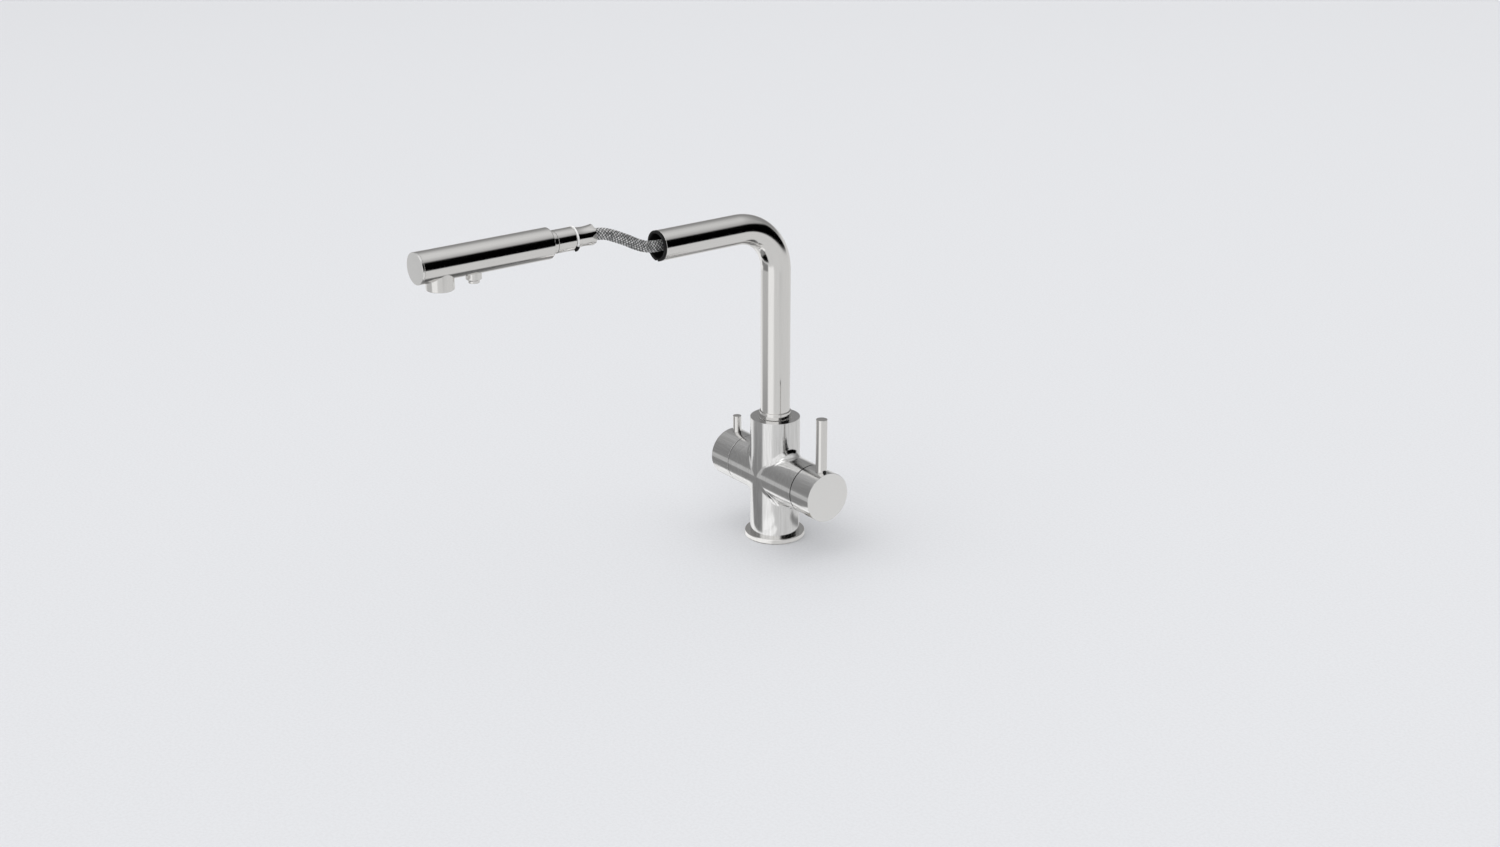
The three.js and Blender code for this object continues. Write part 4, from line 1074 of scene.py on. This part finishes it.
@dataclass
class BraidedHose:
    """The braided hose: free between head and mouth, then in the spout, then below the body."""

    sides: int = 24
    joint: float = BASE_RING_TOP
    free_shares: tuple[tuple[float, float], ...] = (
        (1, 1), (0.926, 1), (0.86, 1), (0.81, 0.99), (0.741, 0.952), (0.667, 0.875),
        (0.547, 0.678), (0.425, 0.452), (0.326, 0.25), (0.215, 0.077), (0.111, 0.01), (0, 0),
    )
    free_start: float = 0.202
    free_end: float = 0.121
    bend_steps: int = 6
    bend_lead: float = 0.028
    coil_radius: float = 0.055
    coil_turns: float = 1.5
    coil_pitch: float = 0.0116
    coil_centre: float = -0.200
    coil_points: int = 24
    sway_steps: int = 4
    shank_bottom: float = -0.078
    tail_bottom: float = -0.092
    socket_aside: float = 0.024
    socket_mouth: float = -0.126
    socket_depth: float = 0.011
    socket_gap: float = 0.0003
    straight: float = 2 * HOSE_RADIUS

    def free_route(self) -> Route:
        """Lays the free length.

        Returns:
            The route from the connector to the mouth.
        """
        way_in = self.free_start - self.free_end
        rise = HEAD_HEIGHT - SPOUT_HEIGHT
        return Route([(0, -self.free_end - out * way_in, SPOUT_HEIGHT + up * rise)
                      for out, up in self.free_shares])

    def spout_route(self) -> Route:
        """Lays the length in the spout.

        Returns:
            The route from the mouth, round the bend and down to the joint.
        """
        turns = (QUARTER_TURN * i / self.bend_steps for i in range(self.bend_steps, -1, -1))
        bend = [(0, -TUBE_BEND * (1 - math.cos(turn)),
                 SPOUT_HEIGHT - TUBE_BEND * (1 - math.sin(turn))) for turn in turns]
        return Route([
            (0, -self.free_end, SPOUT_HEIGHT), (0, -TUBE_BEND - self.bend_lead, SPOUT_HEIGHT),
            *bend, (0, 0, SPOUT_HEIGHT - TUBE_BEND - self.bend_lead), (0, 0, self.joint),
        ])

    def lower_route(self) -> Route:
        """Lays the length below the spout.

        Returns:
            The route down the body, round the hanging turns and up into the socket.
        """
        count = round(self.coil_turns * self.coil_points)
        turns = (FULL_TURN * i / self.coil_points for i in range(count + 1))
        coil = [
            (self.coil_radius * math.cos(turn), -self.coil_pitch * turn / FULL_TURN,
             self.coil_centre - self.coil_radius * math.sin(turn))
            for turn in turns
        ]
        leaving = (0, 0, self.tail_bottom - self.straight)
        x, y = -self.socket_aside, -self.coil_turns * self.coil_pitch
        entering = (x, y, self.socket_mouth - self.straight)
        return Route([
            (0, 0, self.joint), (0, 0, self.joint / 2), (0, 0, 0), (0, 0, self.shank_bottom),
            leaving, *self.sway(leaving, coil[0]), *coil, *self.sway(coil[-1], entering), entering,
            (x, y, self.socket_mouth + self.socket_depth - self.socket_gap),
        ], 6)

    def sway(self, start: Point, end: Point) -> list[Point]:
        """Gives the points of an S that leaves one upright stretch and joins another beside it.

        Args:
            start: where the first stretch ends.
            end: where the second begins.

        Returns:
            The points between them.
        """
        points = []
        for i in range(1, self.sway_steps):
            part = i / self.sway_steps
            aside = part * part * (3 - 2 * part)
            points.append(tuple(a + share * (b - a)
                                for a, b, share in zip(start, end, (aside, aside, part))))
        return points

    def tube(self, name: str, route: Route) -> Piece:
        """Carries a round section along a route, and keeps each ring's place for the braid.

        Args:
            name: the piece's name.
            route: the hose's middle.

        Returns:
            The dressed tube.
        """
        mesh = bmesh.new()
        frames = route.frames()
        bmesh.ops.create_circle(mesh, cap_ends=True, segments=self.sides, radius=HOSE_RADIUS,
                                matrix=frames[0])
        marks = [(0.0, list(mesh.verts))]
        rim = list(mesh.edges)
        travelled = 0.0
        for last, here in zip(frames, frames[1:]):
            corners, rim = extruded(mesh, rim)
            bmesh.ops.transform(mesh, matrix=here @ last.inverted(), verts=corners)
            travelled += (here.translation - last.translation).length
            marks.append((travelled, corners))
        bmesh.ops.edgeloop_fill(mesh, edges=rim)
        bmesh.ops.recalc_face_normals(mesh, faces=mesh.faces)
        mesh.verts.index_update()
        places: dict[int, Vector] = {}
        for (along, corners), ring in zip(marks, frames):
            back = ring.inverted()
            for corner in corners:
                section = back @ corner.co
                places[corner.index] = Vector((section.x, section.y, along))
        piece = to_piece(mesh, name)
        ordered = iter([places[index] for index in range(len(piece.data.vertices))])
        dress(piece, HOSE_COVER, lambda point: next(ordered))
        return piece

    @staticmethod
    def declare(piece: Piece, route: Route, lay: str) -> None:
        """Measures a tube's route and logs its length."""
        tuple(route.points[0])
        route.length()
        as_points(route.points)
        LOG.info("%s: %.3f m of hose", piece.name, route.length())

    def build(self) -> None:
        """Makes the three lengths and logs each one's length."""
        free = self.free_route()
        piece = self.tube("braided_hose_free", free)
        mouth = tuple(free.points[-1])
        connector = tuple(free.points[0])
        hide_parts("hose_free")
        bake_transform(piece)
        self.declare(piece, free, "loose")
        for name, body, node, route, lay in (
            ("braided_hose_in_spout", "spout", "hose_in_spout", self.spout_route(), "loose"),
            ("braided_hose_below", "body", "hose_below", self.lower_route(), "coiled"),
        ):
            piece = self.tube(name, route)
            fit(piece, body, "hose_braid", node)
            self.declare(piece, route, lay)


# ---- the body
@dataclass(kw_only=True)
class TapBody(SubAssembly):
    """The cast body with its two side housings, on its flange."""

    mixer_seam: float = 0.0505
    filter_seam: float = 0.0415
    foot: float = 0.0048
    fillet: float = 0.0072
    fillet_fade: float = 0.7
    fillet_points: int = 14
    slices: int = 84
    edge: float = 0.0004
    mixer_bore: float = 0.018
    filter_bore: float = 0.0115
    valve_bore_floor: float = 0.014
    spout_bore: float = 0.01452
    spout_bore_floor: float = 0.088
    shank_bore: float = 0.0163
    shank_bore_top: float = 0.0258
    hose_bore: float = 0.0066
    hose_bore_floor: float = 0.02
    hose_bore_top: float = 0.09
    flange_radius: float = 0.0274
    flange_lift: float = 0.0003
    flange_edge: float = 0.0006

    def outline(self, half: float) -> list[tuple[float, float]]:
        """Gives one upright slice of the body as a cross with rounded inner corners.

        Args:
            half: half the width of the cross's arms.

        Returns:
            The slice's points as (x, z), all the way round.
        """
        fillet = self.fillet * (half / BODY_RADIUS) ** self.fillet_fade
        turns = [QUARTER_TURN * i / self.fillet_points for i in range(self.fillet_points + 1)]

        def corner(side: int, up: int) -> list[tuple[float, float]]:
            """Rounds one inner corner.

            Args:
                side: 1 on the mixer's side, -1 on the filter's.
                up: 1 above the valves' axis, -1 below it.

            Returns:
                The corner's points.
            """
            points = [
                (side * (half + fillet * (1 - math.cos(turn))),
                 VALVE_HEIGHT + up * (half + fillet * (1 - math.sin(turn))))
                for turn in turns
            ]
            return points if side * up > 0 else points[::-1]

        right, left = self.mixer_seam, -self.filter_seam
        return [
            (half, BODY_TOP), *corner(1, 1), (right, VALVE_HEIGHT + half),
            (right, VALVE_HEIGHT - half), *corner(1, -1), (half, self.foot),
            (-half, self.foot), *corner(-1, -1), (left, VALVE_HEIGHT - half),
            (left, VALVE_HEIGHT + half), *corner(-1, 1), (-half, BODY_TOP),
        ]

    def skin(self) -> Mesh:
        """Draws the body's outline through all its slices, from the front to the back.

        Returns:
            The closed skin.
        """
        mesh = bmesh.new()
        step = HALF_TURN / self.slices
        corners: list[Corner] = []
        rim: list[Edge] = []
        for turn in ((i + 0.5) * step - QUARTER_TURN for i in range(self.slices)):
            points = self.outline(BODY_RADIUS * math.cos(turn))
            depth = BODY_RADIUS * math.sin(turn)
            if not corners:
                corners = [mesh.verts.new((x, depth, z)) for x, z in points]
                rim = [mesh.edges.new(pair) for pair in zip(corners, corners[1:] + corners[:1])]
                bmesh.ops.edgeloop_fill(mesh, edges=rim)
                continue
            mesh.verts.index_update()
            order = {corner.index: place for place, corner in enumerate(corners)}
            made, rim = extruded(mesh, rim)
            fresh = set(made)
            following = dict.fromkeys(range(len(corners)))
            for item in made:
                ends = (edge.other_vert(item) for edge in item.link_edges)
                parent = next(end for end in ends if end not in fresh)
                following[order[parent.index]] = item
            corners = list(following.values())
            for corner, (x, z) in zip(corners, points):
                corner.co = (x, depth, z)
        bmesh.ops.edgeloop_fill(mesh, edges=rim)
        bmesh.ops.recalc_face_normals(mesh, faces=mesh.faces)
        break_edges(mesh, self.edge)
        return mesh

    def cast(self) -> None:
        """Makes the body's skin and bores it for the spout, the valves and the shank."""
        floor = self.valve_bore_floor
        self.make(self.skin(), "cast_body", "tap_body", finish=BODY_STEEL, cutters=[
            drill(self.spout_bore, self.spout_bore_floor, BODY_TOP + OVERSHOOT),
            drill(self.shank_bore, self.foot - OVERSHOOT, self.shank_bore_top),
            drill(self.hose_bore, self.hose_bore_floor, self.hose_bore_top, steps=SMALL_STEPS),
            drill(self.mixer_bore, floor, self.mixer_seam + OVERSHOOT, Lie.MIXER.place()),
            drill(self.filter_bore, floor, self.filter_seam + OVERSHOOT, Lie.FILTER.place()),
        ])

    def flange(self) -> None:
        """Makes the round flange that the body stands on."""
        profile = ring_profile(self.shank_bore, self.flange_radius, self.flange_lift, self.foot)
        self.make(turned(profile, self.flange_edge, 4), "foot_flange", "base_flange")

    def build(self) -> None:
        """Makes the body and its flange."""
        self.cast()
        self.flange()


# ---- the spout
@dataclass(kw_only=True)
class Spout(SubAssembly):
    """The bent spout tube with its base ring and the black collar in its mouth."""

    body: str = "spout"
    foot: float = 0.092
    wall: float = 0.0013
    bend_steps: int = 40
    tube_edge: float = 0.00035
    ring_radius: float = 0.0143
    ring_low: float = 0.1153
    ring_gap: float = 0.0001
    ring_edge: float = 0.0003
    collar_bore: float = 0.0106
    collar_depth: float = 0.020
    collar_lip: float = 0.002
    collar_gap: float = 0.0002
    collar_chamfer: float = 0.0005
    collar_edge: float = 0.00025
    key_width: float = 0.003
    key_depth: float = 0.0016

    @staticmethod
    def grain_at(point: Vector) -> Vector:
        """Unbends a point of the spout, so that its lines follow the tube.

        Args:
            point: a point of the tube.

        Returns:
            The point as if the tube stood straight.
        """
        bend_low = SPOUT_HEIGHT - TUBE_BEND
        if point.z <= bend_low and point.y > -TUBE_BEND:
            return point.copy()
        if point.y <= -TUBE_BEND:
            way = bend_low + QUARTER_TURN * TUBE_BEND - point.y - TUBE_BEND
            return Vector((point.x, point.z - SPOUT_HEIGHT, way))
        y, z = point.y + TUBE_BEND, point.z - bend_low
        turn = math.atan2(z, y)
        return Vector((point.x, math.hypot(y, z) - TUBE_BEND, bend_low + turn * TUBE_BEND))

    def tube(self) -> None:
        """Makes the tube: a ring drawn up, spun round the bend and drawn out to the mouth."""
        mesh = bmesh.new()
        bmesh.ops.create_circle(mesh, segments=ROUND_STEPS, radius=TUBE_RADIUS,
                                matrix=Matrix.Translation((0, 0, self.foot)))
        up = Vector((0, 0, SPOUT_HEIGHT - TUBE_BEND - self.foot))
        rim = self.draw(mesh, list(mesh.edges), up)
        corners = list({corner for edge in rim for corner in edge.verts})
        made = bmesh.ops.spin(
            mesh, geom=corners + rim, cent=(0, -TUBE_BEND, SPOUT_HEIGHT - TUBE_BEND),
            axis=(1, 0, 0), angle=QUARTER_TURN, steps=self.bend_steps,
        )["geom_last"]
        rim = [item for item in made if isinstance(item, Edge)]
        self.draw(mesh, rim, Vector((0, -(SPOUT_REACH - TUBE_BEND), 0)))
        bmesh.ops.recalc_face_normals(mesh, faces=mesh.faces)
        bmesh.ops.solidify(mesh, geom=list(mesh.faces), thickness=self.wall)
        bmesh.ops.recalc_face_normals(mesh, faces=mesh.faces)
        break_edges(mesh, self.tube_edge, 2)
        self.make(mesh, "bent_spout_tube", "spout_tube", grain_at=self.grain_at)

    @staticmethod
    def draw(mesh: Mesh, rim: Sequence[Edge], way: Vector) -> list[Edge]:
        """Draws a rim out along a straight way.

        Args:
            mesh: the mesh.
            rim: the rim's edges.
            way: how far and where to.

        Returns:
            The new rim's edges.
        """
        corners, rim = extruded(mesh, rim)
        bmesh.ops.translate(mesh, vec=way, verts=corners)
        return rim

    def base_ring(self) -> None:
        """Makes the ring that covers the joint between the spout and the body."""
        inner = TUBE_RADIUS + self.ring_gap
        profile = ring_profile(inner, self.ring_radius, self.ring_low, BASE_RING_TOP)
        self.make(turned(profile, self.ring_edge, 2), "spout_foot_ring", "spout_base_ring")

    def collar(self) -> None:
        """Makes the black collar, with a notch for the head's key at the bottom of its lip."""
        sleeve = TUBE_RADIUS - self.wall - self.collar_gap
        rear = SPOUT_REACH - self.collar_depth
        seat = SPOUT_REACH + self.collar_gap
        front = SPOUT_REACH + self.collar_lip
        mesh = turned([
            (self.collar_bore, rear), (sleeve, rear), (sleeve, seat), (TUBE_RADIUS, seat),
            (TUBE_RADIUS, front), (self.collar_bore + self.collar_chamfer, front),
            (self.collar_bore, front - self.collar_chamfer), (self.collar_bore, rear),
        ], self.collar_edge, 2)
        notch = block((self.key_width, 2 * self.collar_lip, 2 * self.key_depth),
                      Matrix.Translation((0, -front, SPOUT_HEIGHT - TUBE_RADIUS)))
        self.make(mesh, "docking_collar_black", "docking_collar", finish=COLLAR_BLACK,
                  place=Lie.MOUTH.place(), cutters=[notch])

    def build(self) -> None:
        """Makes the spout's three pieces."""
        self.tube()
        self.base_ring()
        self.collar()


# ---- the handles
@dataclass(kw_only=True)
class ValveHandle(SubAssembly):
    """A knob with its upright lever, on one side of the tap."""

    label: str
    seam: float
    end: float
    end_wall: float
    lever_place: float
    lever_radius: float
    lever_top: float
    gap: float
    lever_root: float = 0.0105
    lever_lift: float = 0.0003
    hole_gap: float = 0.00018
    wall: float = 0.0022
    edge: float = 0.0002
    ring_inner: float = 0.0188
    ring_outer: float = 0.0222
    ring_lift: float = 0.00005
    ring_thickness: float = 0.00035

    def outward(self) -> float:
        """Gives the sign of X on the handle's side."""
        return 1.0 if self.lie is Lie.MIXER else -1.0

    def knob(self) -> None:
        """Makes the cup-shaped knob and bores it for the lever."""
        floor = self.end - self.end_wall
        bore = BODY_RADIUS - self.wall
        mesh = turned([
            (bore, self.seam), (BODY_RADIUS, self.seam), (BODY_RADIUS, self.end),
            (0.0, self.end), (0.0, floor), (bore, floor), (bore, self.seam),
        ], self.edge)
        hole = drill(self.lever_radius + self.hole_gap, self.lever_root, BODY_RADIUS + OVERSHOOT,
                     self.lever_matrix(), SMALL_STEPS)
        knob = self.make(mesh, f"{self.label}_knob_shell", f"{self.label}_knob",
                         finish=BODY_STEEL, cutters=[hole])
        self.face_disc(knob)

    def face_disc(self, knob: Piece) -> None:
        """Gives the knob's outer disc the softer finish of a faced surface, with steel painted
        lighter than the rest.

        Args:
            knob: the knob.
        """
        outward = Vector((self.outward(), 0.0, 0.0))
        knob.data.materials.append(LIGHTENED_DISC_STEEL.material())
        for polygon in knob.data.polygons:
            at_end = polygon.center.dot(outward) > self.end - TOUCH
            if at_end and polygon.normal.dot(outward) > FACES_SO:
                polygon.material_index = 1

    def lever_matrix(self) -> Matrix:
        """Gives the place of the lever's own frame: above the valve's axis, at its distance."""
        return Matrix.Translation((self.outward() * self.lever_place, 0, VALVE_HEIGHT))

    def lever(self) -> None:
        """Makes the round lever."""
        profile = rod_profile(self.lever_radius, self.lever_root + self.lever_lift, self.lever_top)
        self.make(turned(profile, self.edge, steps=SMALL_STEPS), f"{self.label}_lever_rod",
                  f"{self.label}_lever", place=self.lever_matrix())

    def glide_ring(self) -> None:
        """Makes the thin black ring that the knob glides on, which stays with the tap's body."""
        low = self.seam - self.gap + self.ring_lift
        profile = ring_profile(self.ring_inner, self.ring_outer, low, low + self.ring_thickness)
        SubAssembly(lie=self.lie).make(turned(profile), f"{self.label}_glide_ring",
                                       finish=COLLAR_BLACK)

    def build(self) -> None:
        """Makes the knob, the lever and the ring under the knob."""
        self.knob()
        self.lever()
        self.glide_ring()


# ---- the pull-out head
@dataclass(kw_only=True)
class PullOutHead(SubAssembly):
    """The head: barrel, end cap, neck and sleeve, with two nozzles below."""

    body: str = "head"
    lie: Lie = Lie.HEAD
    wall: float = 0.0015
    rear_wall: float = 0.003
    rear_rounding: float = 0.0016
    front_edge: float = 0.0002
    cap: float = 0.0018
    cap_gap: float = 0.00012
    spigot: float = 0.003
    spigot_gap: float = 0.0002
    neck_seam: float = 0.2284
    neck_end: float = 0.2114
    neck_bore: float = 0.0068
    seam_gap: float = 0.0003
    rear_gap: float = 0.0001
    edge: float = 0.0003
    aerator_place: float = 0.3341
    aerator_radius: float = 0.0115
    aerator_bore: float = 0.009
    aerator_edge: float = 0.0004
    aerator_cells: int = 14
    jet_place: float = 0.3036
    jet_radius: float = 0.0066
    jet_tip: float = 0.0047
    jet_bore: float = 0.0031
    jet_step: float = 0.0032
    jet_slope: float = 0.001
    jet_cells: int = 6
    nozzle_bottom: float = 0.2963
    nozzle_top: float = HEAD_HEIGHT - 0.0025
    seat_gap: float = 0.00015
    seat_low: float = HEAD_HEIGHT - TUBE_RADIUS - 0.001
    seat_top: float = HEAD_HEIGHT - 0.002
    insert_gap: float = 0.0003
    insert_sink: float = 0.0008
    insert_thickness: float = 0.0028
    insert_web: float = 0.001
    rim_share: float = 0.82
    mesh_share: float = 0.97
    mesh_lift: float = 0.0004
    strand_share: float = 0.42

    def barrel(self) -> None:
        """Makes the barrel, open at the front and rounded at the rear."""
        front = HEAD_FRONT - self.cap - self.cap_gap
        inner = TUBE_RADIUS - self.wall
        neck = NECK_RADIUS - self.wall
        floor = HEAD_REAR + self.rear_wall
        mesh = turned([
            (neck, HEAD_REAR), (TUBE_RADIUS, HEAD_REAR), (TUBE_RADIUS, front), (inner, front),
            (inner, floor), (neck, floor), (neck, HEAD_REAR),
        ])
        break_edges(mesh, self.rear_rounding, 6, lambda edge: all(
            corner.co.z < HEAD_REAR + TOUCH and corner.co.xy.length > TUBE_RADIUS - TOUCH
            for corner in edge.verts
        ))
        break_edges(mesh, self.front_edge, 2, lambda edge: all(
            corner.co.z > front - TOUCH for corner in edge.verts
        ))
        self.make(mesh, "head_barrel_tube", "head_barrel", cutters=[
            drill(radius + self.seat_gap, self.seat_low, self.seat_top, self.below(place))
            for place, radius in ((self.aerator_place, self.aerator_radius),
                                  (self.jet_place, self.jet_radius))
        ])

    @staticmethod
    def below(place: float) -> Matrix:
        """Gives the place of an upright piece at a distance from the tap's axis."""
        return Matrix.Translation((0, -place, 0))

    def end_cap(self) -> None:
        """Makes the disc that closes the barrel, in the steel that is painted lighter than the
        rest.
        """
        rear = HEAD_FRONT - self.cap
        spigot = TUBE_RADIUS - self.wall - self.spigot_gap
        mesh = turned([
            (0.0, rear - self.spigot), (spigot, rear - self.spigot), (spigot, rear),
            (TUBE_RADIUS, rear), (TUBE_RADIUS, HEAD_FRONT), (0.0, HEAD_FRONT),
        ], self.edge)
        self.make(mesh, "head_front_disc", "head_end_cap", finish=LIGHTENED_DISC_STEEL)

    def neck(self) -> None:
        """Makes the neck and the sleeve behind its fine seam."""
        for name, node, low, high in (
            ("neck_front", "head_neck", self.neck_seam + self.seam_gap, HEAD_REAR - self.rear_gap),
            ("neck_rear_sleeve", "neck_sleeve", self.neck_end, self.neck_seam),
        ):
            profile = ring_profile(self.neck_bore, NECK_RADIUS, low, high)
            self.make(turned(profile, self.edge, 2), name, node)

    def nozzle(self, mesh: Mesh, name: str, node: str, place: float,
               finish: Finish = STEEL) -> None:
        """Makes an upright piece below the head, at a place along it."""
        self.make(mesh, name, node, finish=finish, place=self.below(place),
                  grain_at=lambda point: point)

    def aerator(self) -> None:
        """Makes the main aerator's housing and the grille in it."""
        profile = ring_profile(self.aerator_bore, self.aerator_radius, self.nozzle_bottom,
                               self.nozzle_top)
        self.nozzle(turned(profile, self.aerator_edge), "aerator_cup", "aerator_housing",
                    self.aerator_place)
        self.grille("aerator_grille", "aerator_insert", self.aerator_place,
                    self.aerator_bore - self.insert_gap, self.aerator_cells)

    def jet(self) -> None:
        """Makes the smaller nozzle, for the filter valve, and the grille in it."""
        low, high = self.nozzle_bottom, self.nozzle_top
        step = low + self.jet_step
        mesh = turned([
            (self.jet_bore, low), (self.jet_tip, low), (self.jet_tip, step - self.jet_slope),
            (self.jet_radius, step), (self.jet_radius, high), (self.jet_bore, high),
            (self.jet_bore, low),
        ], self.edge, steps=SMALL_STEPS)
        self.nozzle(mesh, "filtered_water_jet", "filter_nozzle", self.jet_place)
        self.grille("jet_grille", "filter_nozzle_insert", self.jet_place,
                    self.jet_bore - self.insert_gap, self.jet_cells)

    def grille(self, name: str, node: str, place: float, radius: float, cells: int) -> None:
        """Makes a round moulded grille with square holes and a rim.

        Args:
            name: the piece's name.
            node: the CAD node that it stands for.
            place: the nozzle's distance from the tap's axis.
            radius: the grille's radius.
            cells: how many cells it is across.
        """
        low = self.nozzle_bottom + self.insert_sink
        top = low + self.insert_thickness
        web = top - self.insert_web
        inner = radius * self.rim_share
        reach = radius * self.mesh_share
        mesh = bmesh.new()
        bmesh.ops.create_grid(mesh, x_segments=cells, y_segments=cells, size=reach)
        outside = [face for face in mesh.faces
                   if max(corner.co.xy.length for corner in face.verts) > reach]
        bmesh.ops.delete(mesh, geom=outside, context="FACES")
        bmesh.ops.wireframe(mesh, faces=list(mesh.faces),
                            thickness=radius / cells * self.strand_share, offset=1.0,
                            use_replace=True, use_boundary=True, use_even_offset=True)
        bmesh.ops.translate(mesh, verts=mesh.verts, vec=(0, 0, low + self.mesh_lift))
        rim = turned([(inner, low), (radius, low), (radius, top), (0.0, top), (0.0, web),
                      (inner, web), (inner, low)], steps=SMALL_STEPS)
        data = bpy.data.meshes.new("rim")
        rim.to_mesh(data)
        rim.free()
        mesh.from_mesh(data)
        bpy.data.meshes.remove(data)
        self.nozzle(mesh, name, node, place, INSERT_GREY)

    def build(self) -> None:
        """Makes the head's pieces, from the front to the back."""
        self.end_cap()
        self.barrel()
        self.neck()
        self.aerator()
        self.jet()


@dataclass(kw_only=True)
class HoseConnector(SubAssembly):
    """The swivel ring with its docking key, and the waisted connector that holds the hose."""

    body: str = "connector"
    lie: Lie = Lie.HEAD
    ring_low: float = 0.2094
    ring_high: float = 0.21085
    ring_radius: float = 0.0105
    ring_bore: float = 0.0068
    ring_edge: float = 0.0004
    key_inner: float = NECK_RADIUS - 0.0008
    key_turn: float = math.radians(-46.0)
    key_width: float = 0.0062
    key_proud: float = 0.0009
    key_overlap: float = 0.0001
    edge: float = 0.0002
    front: float = 0.2089
    end: float = 0.1913
    front_radius: float = 0.0091
    waist: float = 0.0082
    flare: float = 0.0089
    bore: float = 0.0056
    steps: int = 20
    flats: int = 6
    flat: float = 0.0084
    flat_length: float = 0.009
    flat_turn: float = math.radians(3.0)
    cutter_width: float = 0.04
    cutter_past: float = 0.001

    def swivel_ring(self) -> None:
        """Makes the pale ring between the head and the connector."""
        profile = ring_profile(self.ring_bore, self.ring_radius, self.ring_low, self.ring_high)
        self.make(turned(profile, self.ring_edge), "pale_swivel_ring", "swivel_ring",
                  finish=RING_WHITE)

    def docking_key(self) -> None:
        """Makes the black key in the ring, which finds the collar's notch when it is docked."""
        mesh = turned(ring_profile(self.key_inner, self.ring_radius + self.key_proud,
                                   self.ring_low - self.key_overlap,
                                   self.ring_high + self.key_overlap))
        middle = Vector((math.cos(self.key_turn), math.sin(self.key_turn), 0.0))
        aside = Vector((-middle.y, middle.x, 0.0))
        centre = Vector((0.0, 0.0, 0.0))
        for place, outward in (
            (-aside * self.key_width / 2, -aside), (aside * self.key_width / 2, aside),
            (centre, -middle),
        ):
            bmesh.ops.bisect_plane(
                mesh, geom=[*mesh.verts, *mesh.edges, *mesh.faces], dist=ON_CUT,
                plane_co=place, plane_no=outward, clear_outer=True,
            )
        bmesh.ops.holes_fill(mesh, edges=mesh.edges)
        bmesh.ops.recalc_face_normals(mesh, faces=mesh.faces)
        break_edges(mesh, self.edge, 2)
        self.make(mesh, "docking_key", finish=COLLAR_BLACK)

    def waisted(self) -> None:
        """Makes the connector, drawn in at its waist, with flats for a wrench at its end."""
        middle = (self.front + self.end) / 2
        outer = []
        for i in range(self.steps + 1):
            height = self.end + (self.front - self.end) * i / self.steps
            share = (height - middle) / (self.front - middle)
            rim = self.front_radius if share > 0 else self.flare
            outer.append((self.waist + (rim - self.waist) * share * share, height))
        mesh = turned([(self.bore, self.end), *outer, (self.bore, self.front),
                       (self.bore, self.end)], self.edge, 2)
        length = self.flat_length + self.cutter_past
        size = (self.flat, self.cutter_width, length)
        centre = (1.5 * self.flat, 0, self.end - self.cutter_past + length / 2)
        place = Matrix.Translation(centre)
        turns = (Matrix.Rotation(self.flat_turn + FULL_TURN * index / self.flats, 4, "Z")
                 for index in range(self.flats))
        cutters = [block(size, turn @ place, self.lie.place()) for turn in turns]
        self.make(mesh, "waisted_connector", "hose_connector", cutters=cutters, sharp=20.0)

    def build(self) -> None:
        """Makes the ring, its key and the connector."""
        self.swivel_ring()
        self.docking_key()
        self.waisted()


# ---- the model's own parts
class CarriedParts:
    """The parts that keep their CAD shape: those inside the tap and below its foot."""

    def build(self) -> None:
        """Gives every part that still shows a finish with a pattern."""
        slots = {entry["node"]: entry["material_slot"] for entry in frame["record"]["subparts"]}
        finishes = {finish.slot: finish for finish in CORE_FINISHES}
        for name, part in frame["nodes"].items():
            finish = finishes[slots[name]]
            part.data.materials.clear()
            part.data.materials.append(finish.material())
            LOG.info("%s: carried over with %s", name, finish.name)


def main() -> None:
    """Builds the scene: the camera and the hose first, then the tap from foot to head."""
    logging.basicConfig(level=logging.INFO, format="%(name)s: %(message)s")
    Studio().build()
    BraidedHose().build()
    CarriedParts().build()
    TapBody().build()
    Spout().build()
    ValveHandle(
        lie=Lie.MIXER, body="mixer_handle", label="mixer", seam=0.0515, end=0.0767,
        end_wall=0.0165, lever_place=0.0672, lever_radius=0.005, lever_top=0.0713, gap=0.001,
    ).build()
    ValveHandle(
        lie=Lie.FILTER, body="filter_handle", label="filter", seam=0.0423, end=0.067,
        end_wall=0.0155, lever_place=0.0577, lever_radius=0.0039, lever_top=0.0378, gap=0.0008,
        lever_root=0.010, ring_thickness=0.00068,
    ).build()
    PullOutHead().build()
    HoseConnector().build()


if __name__ == "__main__":
    main()
